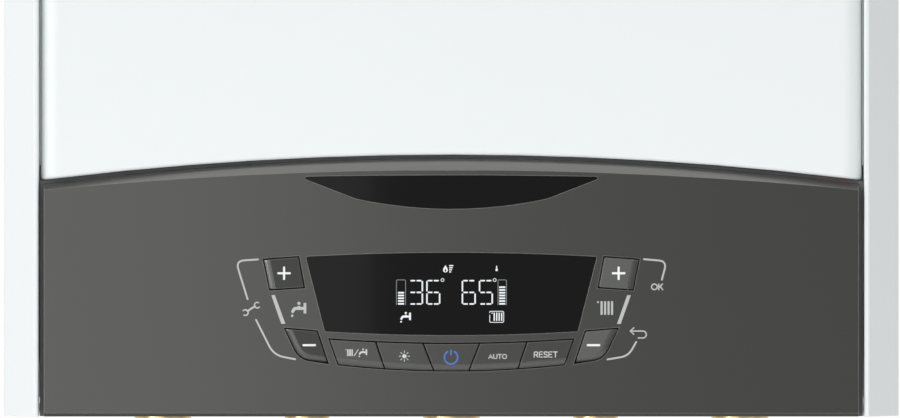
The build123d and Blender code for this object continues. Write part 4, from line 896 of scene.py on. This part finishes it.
@dataclass(frozen=True)
class Plate:
    """Gloss plate between two arcs, set into the fascia in place of its solid."""

    name: str
    node: str
    foot: Bow
    top: Bow
    radii: float | tuple[float, ...]
    recess: float
    play: float
    front: float = 317.8
    thickness: float = 1.1
    wall: float = 0.5
    edge: float = 0.15

    def build(self) -> None:
        """Make the plate with a small edge round, drawn in by its play and sunk by its recess."""
        foot, top = self.foot, self.top
        corners = [(-foot.half, foot.end), (foot.half, foot.end), (top.half, top.end), (-top.half, top.end)]
        outline = Outline(corners, [foot.end - foot.middle, 0.0, top.middle - top.end, 0.0], self.radii)
        head = self.front - self.recess
        mould = Mould(head - self.thickness, head - self.wall, head, self.edge)
        form = mould.form(*[lambda inset: outline(inset + self.play)] * 2)
        finish = SLOT_FINISHES["gloss_black"]
        piece = make_piece(self.name, form, finish, Body.CONTROL_PANEL.value)
        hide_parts(self.node)


BADGE = Plate("badge_face", "badge_plate", Bow(42.7, 97.0, 92.4), Bow(67.9, 106.8, 107.5),
              (14.0, 14.0, 0.9, 0.9), recess=0.25, play=0.15)
WINDOW = Plate("display_face", "display_window", Bow(56.3, 37.9, 36.2), Bow(64.8, 71.2, 73.0),
               0.9, recess=0.15, play=0.1)


@dataclass(frozen=True)
class GapShadingStrips:
    """Strips of painted light and shade in the gaps beside the front panel and round the fascia."""

    seam: Point = (183.07, 183.63)
    seam_span: Point = (112.0, 735.0)
    seam_front: float = 309.3
    brow: Bow = Bow(181.4, 103.4, 114.8)
    side: Point = (181.6, 183.4)
    foot: float = 0.1
    play: float = 0.2
    rise: float = 1.35
    front: float = 312.0
    depth: float = 6.0
    steps: int = 61

    def build(self) -> None:
        """Make the pale strips of the casing, painted light in the side seams, and the dark strip of the
        control panel, painted shade round the fascia.
        """
        near, far = self.seam
        low, high = self.seam_span
        # Pale strips in the side seams: painted light in the seams' shade.
        for side in Side:
            strip = box(side.value * (near + far) / 2, (low + high) / 2, far - near, high - low)
            make_piece(f"seam_light_strip_{side.name.lower()}",
                       Form.plate(strip, self.seam_front - self.depth, self.seam_front),
                       PAINTED_SEAM_LIGHT, Body.CASING.value)
        # Dark strip round the fascia: painted shade in the gap.
        inner = self.line(self.side[0], self.play)
        outer = self.line(self.side[1], self.play + self.rise)
        form = Form.stack(band(outer, inner, self.front - self.depth, self.front).swapaxes(0, 1))
        make_piece("fascia_shade_strip", form, PAINTED_GAP_SHADE, Body.CONTROL_PANEL.value)

    def line(self, half: float, rise: float) -> Array:
        """Path up the left side, over the brow and down the right side."""
        x = np.linspace(-half, half, self.steps)
        top = np.stack([x, self.brow.height(x, rise)], axis=1)
        return np.concatenate([[(-half, self.foot)], top, [(half, self.foot)]])


@dataclass(frozen=True)
class Threads:
    """Screw threads on the pipe tails' ends: pitch of a three-quarter and a half inch pipe, in millimetres."""

    out: float = 75.0
    spacing: float = 67.0
    span: Point = (-24.2, -7.5)
    pitch: float = 1.814
    crest: float = 0.45
    root: float = -0.1
    surface: float = 0.02
    flank: float = 0.4
    around: int = 36
    sharp: float = 1.2
    tails: tuple[tuple[str, float, tuple[int, ...]], ...] = (
        ("large", 13.2, (-2, 0, 2)), ("small", 10.45, (-1, 1)))

    def build(self) -> None:
        """Make the threads of the three large and of the two small tails."""
        finish = SLOT_FINISHES["brass"]
        for name, radius, steps in self.tails:
            form = Form()
            for step in steps:
                form = form + self.thread(step * self.spacing, radius)
            make_piece(f"{name}_tail_threads", form, finish, Body.CASING.value, self.sharp)

    def thread(self, x: float, radius: float) -> Form:
        """One ridge with three corners carried along a helix.

        At turn t the ridge's middle is at (x + r cos t, out + r sin t) and rises by a pitch a turn. Its corners
        lie just inside the tail, 0.4 of a pitch below and above, and at the crest. The crest sinks to the
        tail's surface over the first and last quarter turn.

        Args:
            x, radius: middle and radius of the tail.

        Returns:
            The ridge as a closed solid.
        """
        low, high = self.span
        turns = (high - low) / self.pitch
        turn = np.linspace(0, 2 * math.pi * turns, int(self.around * turns))
        fade = np.minimum(np.minimum(turn, turn[-1] - turn) / (math.pi / 2), 1.0)
        foot = np.full_like(turn, radius + self.root)
        reach = np.stack([foot, foot, radius + self.surface + (self.crest - self.surface) * fade], axis=1)
        turn = turn[:, None]
        rise = low + self.pitch * turn / (2 * math.pi) + self.pitch * np.array([[self.flank, -self.flank, 0]])
        return Form.stack(np.stack([x + reach * np.cos(turn), self.out + reach * np.sin(turn), rise], axis=2))


@dataclass(frozen=True)
class Marks:
    """Flat marks that lie a hair above a surface."""

    name: str
    body: str
    slot: str
    finish: Finish
    level: float
    height: float = 0.03
    step: float = 0.002
    stairs: int = 8

    def build(self, outlines: list[Array], hoops: Sequence[tuple[Array, Array]] = (),
              shaped: Callable[[Form], Form] = lambda form: form) -> None:
        """Make one object of solid marks and of hoops between two outlines.

        Each mark ends a hair above the one before it, so that no two faces share a plane where marks cross.

        Args:
            outlines: the marks.
            hoops: outer and inner outline of each hoop.
            shaped: what is done with the whole form.
        """
        form = Form()
        low, high = self.level - self.height, self.level + self.height
        for number, outline in enumerate(outlines):
            form = form + Form.plate(outline, low, high + self.step * (number % self.stairs))
        for outer, inner in hoops:
            form = form + Form.stack(band(outer, inner, low, high), hollow=True)
        make_piece(self.name, shaped(form), self.finish, self.body)


@dataclass(frozen=True)
class Keypad:
    """Nine bevelled key caps, each riding its own body."""

    back: float = 311.0
    level: float = 317.6
    head: float = 319.0
    edge: float = 0.3
    gap: float = 0.58
    foot_bevel: float = 2.4
    side_bevel: float = 2.2
    corner: float = 0.35
    side_corner: float = 0.5
    row_top: Bow = Bow(54.9, 34.9, 32.9)
    row_foot: Bow = Bow(50.6, 22.8, 20.0)
    dividers: tuple[Point, ...] = ((-34.2, -29.2), (-13.5, -7.6), (13.5, 7.6), (34.2, 29.2))
    row_names: tuple[str, ...] = ("mode_key", "comfort_key", "power_key", "auto_key", "reset_key")
    plus: tuple[Point, ...] = ((65.0, 57.1), (81.1, 56.0), (84.0, 70.3), (67.7, 71.5))
    minus: tuple[Point, ...] = ((54.4, 23.3), (67.98, 25.39), (74.8, 39.7), (59.4, 38.4))
    minus_round: float = 9.0
    slope: float = 0.09
    plus_edge: float = 81.0
    minus_edge: float = 73.0

    def build(self) -> None:
        """Make the row of five and the two pairs."""
        for number, name in enumerate(self.row_names):
            self.cap(name, self.row_key(number, 0.0), self.row_key(number, self.foot_bevel))
        pairs = {"plus": self.side_key(self.plus, self.side_corner, [1]),
                 "minus": self.side_key(self.minus, self.minus_round, [0, 1])}
        for sign, outlines in pairs.items():
            self.cap(f"heating_{sign}_key", *outlines)
        for sign, outlines in pairs.items():
            self.cap(f"hot_water_{sign}_key", *(outline.mirrored() for outline in outlines))

    def cap(self, name: str, base: Outline, crown: Outline) -> None:
        """One key cap in place of its solid."""
        form = self.leaned(name, Mould(self.back, self.level, self.head, self.edge).form(base, crown))
        piece = make_piece(name + "_cap", form, SLOT_FINISHES["key_plastic"], name)
        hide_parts(name)

    def leaned(self, name: str, form: Form) -> Form:
        """Lean the head of a key beside the display inwards; a key of the row stays as it is.

        A point that lies d inside the key's outer edge comes down by slope d at the head, and by less behind
        it, in the ratio of its distance from the back to the head's.

        Args:
            name: the key.
            form: its cap or its marks.

        Returns:
            The same surface, leaned.
        """
        if name in self.row_names:
            return form
        outer = self.plus_edge if "plus" in name else self.minus_edge
        x, out, height = form.vertices.T
        share = (out - self.back) / (self.head - self.back)
        lowered = out - self.slope * (outer - np.abs(x)) * share
        return Form(np.stack([x, lowered, height], axis=1), form.faces)

    def row_key(self, number: int, lift: float) -> Outline:
        """Outline of one key of the row.

        A side is the line x = foot + slope (height - foot height), and its meeting with an arc is found by
        putting the arc's height back into the line a few times.

        Args:
            number: the key's place in the row.
            lift: how far the foot is raised, as on the head above its bevel.

        Returns:
            The outline.
        """
        top, foot = self.row_top, self.row_foot
        sides = np.array([(-top.half, -foot.half), *self.dividers, (top.half, foot.half)])[number:number + 2]
        outer = np.array([number == 0, number == len(self.row_names) - 1])
        level = np.where(outer, foot.end, foot.middle)
        slope = (sides[:, 0] - sides[:, 1]) / (top.end - level)
        shift = np.where(outer, self.gap, self.gap / 2) * np.array([1.0, -1.0])
        ends = []
        for bow, rise in ((foot, self.gap + lift), (top, -self.gap)):
            x = sides[:, 1]
            for _ in range(6):
                x = sides[:, 1] + slope * (bow.height(x, rise) - level) + shift
            ends.append(np.stack([x, bow.height(x, rise)], axis=1))
        (low_left, low_right), (high_left, high_right) = ends
        below, above = foot.sag(low_right[0] - low_left[0]), top.sag(high_right[0] - high_left[0])
        corners = [low_left, low_right, high_right, high_left]
        return Outline(corners, [abs(below), 0.0, -abs(above), 0.0], self.corner)

    def side_key(self, corners: Sequence[Point], round_corner: float,
                 drawn: list[int]) -> tuple[Outline, Outline]:
        """Base and head outlines of a key beside the display.

        Args:
            corners: four corners, anticlockwise from the inner foot.
            round_corner: rounding of the second corner.
            drawn: sides that the head draws in by the bevel, by the number of their first corner.

        Returns:
            The outline at the foot and the one at the head.
        """
        radii = np.array([self.side_corner, round_corner, self.side_corner, self.side_corner])
        insets = np.full(4, self.gap)
        base = Outline(self.parallel(np.array(corners), insets), 0.0, radii)
        insets[drawn] += self.side_bevel
        radii = np.where(radii > self.side_bevel, radii - self.side_bevel, radii)
        return base, Outline(self.parallel(np.array(corners), insets), 0.0, radii)

    @staticmethod
    def parallel(corners: Array, distances: Array) -> Array:
        """Corners where the sides meet once each is moved inwards by its own distance.

        With unit normals n and offsets c = n . corner - distance, each new corner solves the two sides'
        equations by Cramer's rule.

        Args:
            corners: array (corners, 2), anticlockwise.
            distances: how far the side after each corner moves.

        Returns:
            The new corners.
        """
        normal = -left_of(unit(np.roll(corners, -1, axis=0) - corners))
        offset = np.sum(normal * corners, axis=1) - distances
        before, offset_before = np.roll(normal, 1, axis=0), np.roll(offset, 1)
        area = before[:, 0] * normal[:, 1] - before[:, 1] * normal[:, 0]
        x = (offset_before * normal[:, 1] - offset * before[:, 1]) / area
        height = (before[:, 0] * offset - normal[:, 0] * offset_before) / area
        return np.stack([x, height], axis=1)


TURN = math.degrees(3.2)
LETTERS: dict[str, tuple[float, float, tuple[Sequence[Point] | Array, ...]]] = {
    "A": (0.92, 0.0, (((0.0, 0.0), (0.46, 1.0), (0.92, 0.0)), ((0.2, 0.34), (0.72, 0.34)))),
    "E": (0.62, 0.0, (((0.62, 1.0), (0.0, 1.0), (0.0, 0.0), (0.62, 0.0)), ((0.0, 0.52), (0.55, 0.52)))),
    "K": (0.7, 0.0, (((0.0, 0.0), (0.0, 1.0)), ((0.66, 1.0), (0.04, 0.4)), ((0.26, 0.6), (0.7, 0.0)))),
    "O": (1.0, 0.0, (arc(0.5, 0.5, 0.5, 0.0, TURN, 17), arc(0.5, 0.5, 0.5, 180.0, 180.0 + TURN, 17))),
    "R": (0.72, 0.26, (((0.0, 0.0), (0.0, 1.0), (0.68, 1.0), (0.68, 0.46), (0.0, 0.46)),
                       ((0.34, 0.46), (0.72, 0.0)))),
    "S": (0.66, 0.24, (((0.64, 0.86), (0.56, 1.0), (0.02, 1.0), (0.02, 0.54), (0.64, 0.48), (0.64, 0.0),
                        (0.1, 0.0), (0.0, 0.14)),)),
    "T": (0.74, 0.0, (((0.0, 1.0), (0.74, 1.0)), ((0.37, 1.0), (0.37, 0.0)))),
    "U": (0.8, 0.38, (((0.0, 1.0), (0.0, 0.0), (0.8, 0.0), (0.8, 1.0)),)),
}  # width, rounding and lines of each capital, as shares of its height


def lettering(text: str, x: float, foot: float, height: float, width: float,
              space: float = 0.28) -> list[Array]:
    """Plain capitals in lines of even width.

    Args:
        text: what they spell.
        x, foot: middle and foot of the word.
        height: height of a capital.
        width: width of the lines.
        space: gap between letters, as a share of their height.

    Returns:
        One outline for each line.
    """
    total = sum(LETTERS[letter][0] + space for letter in text) - space
    start = x - total * height / 2
    outlines = []
    for letter in text:
        wide, radius, lines = LETTERS[letter]
        outlines += [stroke(np.array(line) * height + np.array([start, foot]), width, radius * height)
                     for line in lines]
        start += (wide + space) * height
    return outlines


def dot(x: float, height: float, radius: float) -> Array:
    """Round dot."""
    return arc(x, height, radius, 0.0, 345.0)


def ring(x: float, height: float, radius: float, width: float) -> tuple[Array, Array]:
    """Round ring as a hoop."""
    return arc(x, height, radius + width / 2, 0, 350, 36), arc(x, height, radius - width / 2, 0, 350, 36)


def box(x: float, height: float, wide: float, tall: float, radius: float = 0.1) -> Array:
    """Upright rectangle with rounded corners, round a middle."""
    left, right, low, high = x - wide / 2, x + wide / 2, height - tall / 2, height + tall / 2
    corners = [(left, low), (right, low), (right, high), (left, high)]
    return Outline(corners, 0.0, radius, side_steps=3, corner_steps=3)()


def tap(x: float, height: float, size: float) -> list[Array]:
    """Water tap that drips, with its spout to the left.

    Args:
        x, height: middle of its wall flange.
        size: height of the flange, of which all other lengths are shares.

    Returns:
        Outlines of flange, spout, knob, stem and drop.
    """
    spout = np.array([(-0.05, -0.02), (-0.98, -0.02), (-1.16, -0.32)]) * size + np.array([x, height])
    return [
        box(x, height, size * 0.26, size),
        stroke(spout, size * 0.29, size * 0.2),
        dot(x - size * 0.57, height + size * 0.46, size * 0.15),
        box(x - size * 0.57, height + size * 0.11, size * 0.24, size * 0.22),
        dot(x - size * 1.2, height - size * 0.72, size * 0.12),
    ]


def radiator(x: float, height: float, size: float, pitch: float = 0.255) -> list[Array]:
    """Four radiator columns and a valve dot.

    Args:
        x, height: their middle.
        size: their height, of which all other lengths are shares.
        pitch: from column to column.

    Returns:
        Outlines of the columns and the dot.
    """
    middles = x + size * pitch * (np.arange(4) - 1.5)
    columns = [box(middle, height, size * 0.156, size, size * 0.039) for middle in middles.tolist()]
    return columns + [dot(middles[0] - size * 0.26, height + size * 0.43, size * 0.075)]


def flame(x: float, foot: float, size: float) -> tuple[Array, Array]:
    """Flame as a hoop between an outer and an inner drop.

    A drop has the points (w sin a, h (1 - cos a) / 2), with w shrinking as ((1 + cos a) / 2) to the 0.6
    towards its tip.

    Args:
        x, foot: middle and foot of the outer drop.
        size: its height.

    Returns:
        Outer and inner drop.
    """
    angle = np.linspace(0, 2 * math.pi, 48, endpoint=False)
    wide = 0.46 * np.sin(angle) * (((1 + np.cos(angle)) / 2) ** 0.6 + 0.001)
    rise = (1 - np.cos(angle)) / 2
    outer = np.stack([x + size * wide, foot + size * rise], axis=1)
    return outer, np.stack([x + size * 0.36 * wide, foot + size * (0.1 + 0.4 * rise)], axis=1)


def power_sign(x: float, height: float, radius: float, width: float) -> list[Array]:
    """Open ring with an upright bar in its gap."""
    return [stroke(arc(x, height, radius, 122.0, 418.0, 60), width),
            stroke([(x, height + radius * 0.42), (x, height + radius * 1.06)], width)]


def sun(x: float, height: float, radius: float) -> list[Array]:
    """Dot with eight rays, for a comfort setting.

    Args:
        x, height: its middle.
        radius: reach of the rays.

    Returns:
        Outlines of the dot and the rays.
    """
    turns = np.radians(np.arange(8) * 45.0)
    ways = np.stack([np.cos(turns), np.sin(turns)], axis=1) * radius
    rays = [stroke(np.array([x, height]) + np.stack([way * 0.68, way]), radius * 0.14) for way in ways]
    return [dot(x, height, radius * 0.42)] + rays


# Upright segments of each digit: 1 on the right side and 1 in the upper half, else 0.
UPRIGHTS = {"3": ((1, 1), (1, 0)), "5": ((0, 1), (1, 0)), "6": ((0, 1), (0, 0), (1, 0))}


@dataclass(frozen=True)
class Screen:
    """Lit segments of the display: temperatures, level bars and symbols."""

    level: float = 317.66
    rows: tuple[float, float, float] = (60.50, 55.28, 50.13)
    digits: tuple[tuple[str, float], ...] = (("3", -18.55), ("6", -10.86), ("6", 4.93), ("5", 12.55))
    digit_line: float = 0.66
    digit_width: float = 5.64
    halves: tuple[Point, ...] = ((0.36, 2.45), (3.08, 5.26))
    upright_ends: Point = (0.42, 0.1)
    gauges: tuple[tuple[float, float, int], ...] = ((-24.44, -20.38, 5), (20.76, 24.52, 7))
    gauge_span: Point = (49.8, 60.85)
    bar_foot: float = 50.2
    bar_pitch: float = 1.233
    bar_size: Point = (2.74, 0.74)
    scale_place: Point = (-0.98, 67.2)
    scale: tuple[float, ...] = (1.85, 1.55, 1.25, 0.9)
    scale_pitch: float = 0.93
    scale_line: float = 0.52
    bulb: Point = (20.16, 65.3)
    room: tuple[Point, ...] = ((17.1, 45.2), (17.1, 41.95), (23.3, 41.95), (23.3, 46.85), (17.1, 46.85),
                               (17.1, 46.2))
    frame_line: float = 0.3
    frame_round: float = 0.6
    degrees: tuple[Point, ...] = ((-3.94, 60.79), (19.29, 60.79))
    degree_ring: Point = (0.66, 0.28)

    def digit(self, value: str, x: float) -> list[Array]:
        """Seven-segment digit whose flat segments are each split in two.

        Args:
            value: the digit: 3, 5 or 6.
            x: its left side.

        Returns:
            One outline for each lit segment.
        """
        top, middle, foot = self.rows
        inner, outer = self.upright_ends
        line = self.digit_line
        outlines = [box(x + (start + finish) / 2, height, finish - start, line, 0.25)
                    for height in self.rows for start, finish in self.halves]
        for right, upper in UPRIGHTS[value]:
            low, high = (middle + inner, top - outer) if upper else (foot + outer, middle - inner)
            outlines.append(box(x + right * self.digit_width, (low + high) / 2, line, high - low, 0.3))
        return outlines

    def build(self) -> None:
        """Make the bright segments as one piece on the window, and the dim frames of the gauges as another."""
        outlines, frames = [], []
        for value, x in self.digits:
            outlines += self.digit(value, x)
        low, high = self.gauge_span
        for left, right, bars in self.gauges:
            outlines += [box((left + right) / 2, self.bar_foot + number * self.bar_pitch, *self.bar_size)
                         for number in range(bars)]
            frames.append(self.line([(left, low), (left, high), (right, high), (right, low)]))
        outlines += tap(-18.4, 44.6, 3.3) + radiator(20.75, 44.45, 3.7, 0.3)
        x, height = self.scale_place
        outlines += [box(x + length / 2, height - number * self.scale_pitch, length, self.scale_line)
                     for number, length in enumerate(self.scale)]
        x, height = self.bulb
        outlines += [stroke([(x, height + 0.1), (x, height + 1.6)], 0.5), dot(x, height, 0.56),
                     self.line(self.room)]
        hoops = [*(ring(*place, *self.degree_ring) for place in self.degrees), flame(-2.63, 64.2, 3.15)]
        panel = Body.CONTROL_PANEL.value
        Marks("display_segments", panel, "display_glass", LIT_WHITE, self.level).build(outlines, hoops)
        Marks("display_frames", panel, "display_glass", LIT_DIM, self.level).build(frames)

    def line(self, points: Sequence[Point]) -> Array:
        """Thin bent line of a frame."""
        return stroke(points, self.frame_line, self.frame_round)


@dataclass(frozen=True)
class FasciaPrint:
    """Marks printed on the fascia beside the display, and on the keys."""

    fascia_level: float = 317.8
    key_level: float = 319.0
    line: float = 0.8
    fine: float = 0.6
    sign: Point = (6.0, 0.96)
    cross: Point = (74.45, 63.8)
    dash: Point = (63.26, 31.8)
    frame: tuple[tuple[float, tuple[Point, ...]], ...] = (
        (3.0, ((-86.04, 69.97), (-95.96, 69.27), (-90.69, 52.27))),
        (10.0, ((-86.91, 43.01), (-79.05, 27.37), (-69.5, 25.52))),
        (0.0, ((-75.7, 41.24), (-73.85, 41.3), (-78.58, 54.16), (-80.12, 54.04))),
        (3.0, ((85.75, 70.05), (95.87, 69.19), (93.69, 60.91))),
        (9.5, ((82.29, 33.22), (78.76, 27.01), (69.53, 25.44))),
        (0.0, ((73.73, 41.24), (75.38, 41.24), (79.9, 54.04), (78.26, 54.04))),
    )  # rounding and points of each line, or corners of a slant where there is no rounding

    def build(self) -> None:
        """Make the fascia's marks as one piece and each key's as its own."""
        marks = [stroke(points, self.line, radius) if radius else np.array(points)
                 for radius, points in self.frame]
        marks += self.wrench() + self.turn_back() + tap(-65.18, 48.25, 4.7) + radiator(69.2, 48.33, 6.1)
        marks += lettering("OK", 91.6, 56.5, 2.5, 0.58)
        Marks("fascia_print", Body.CONTROL_PANEL.value, "gloss_black", PRINT, self.fascia_level).build(marks)
        self.key_marks()

    def wrench(self) -> list[Array]:
        """Open-ended spanner, leaning to the right."""
        return [stroke([(-90.75, 46.95), (-87.45, 49.1)], 0.85),
                stroke(arc(-86.4, 49.6, 1.25, 62.0, 318.0), self.fine),
                stroke(arc(-91.7, 46.3, 1.25, -118.0, 138.0), self.fine)]

    def turn_back(self) -> list[Array]:
        """Arrow that turns back to the left."""
        path = np.concatenate([[(79.7, 38.08)], arc(85.25, 36.54, 1.54, 90.0, -90.0), [(83.2, 35.0)]])
        return [stroke(path, self.fine), stroke([(81.2, 39.5), (79.6, 38.08), (81.2, 36.66)], self.fine)]

    def key_marks(self) -> None:
        """White signs and symbols on the key caps."""
        long, thin = self.sign
        signs = {"plus": (self.cross, ((long, thin), (thin, long))), "minus": (self.dash, ((long, thin),))}
        for side, pair in ((Side.LEFT, "hot_water"), (Side.RIGHT, "heating")):
            for sign, ((x, height), bars) in signs.items():
                marks = [box(side.value * x, height, wide, tall, 0.45) for wide, tall in bars]
                self.on_key(f"{pair}_{sign}_key", marks, SIGN_PRINT)
        slash = bar((-43.25, 27.0), (-41.4, 29.95), 0.36)
        self.on_key("mode_key", [*radiator(-45.1, 28.45, 3.0, 0.23), slash, *tap(-37.8, 28.7, 2.6)])
        self.on_key("comfort_key", sun(-20.9, 26.9, 2.3))
        self.on_key("auto_key", lettering("AUTO", 20.6, 25.85, 1.85, 0.37))
        self.on_key("reset_key", lettering("RESET", 42.0, 26.5, 2.3, 0.42))
        self.on_key("power_key", power_sign(-0.16, 26.4, 2.96, 0.72), BLUE_PRINT)

    def on_key(self, key: str, outlines: list[Array], finish: Finish | None = None) -> None:
        """Marks that ride one key and lean with its head."""
        marks = Marks(f"{key}_mark", key, "key_plastic", finish or KEY_PRINT, self.key_level)
        marks.build(outlines, shaped=lambda form: Keypad().leaned(key, form))


def main() -> None:
    """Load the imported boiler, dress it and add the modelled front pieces."""
    logging.basicConfig(level=logging.INFO, format="%(name)s: %(message)s")
    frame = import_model()
    for assembly in (Studio(), PackedSolids(frame), BADGE, WINDOW, GapShadingStrips(), Threads(), Keypad(), Screen(),
                     FasciaPrint()):
        assembly.build()


if __name__ == "__main__":
    main()
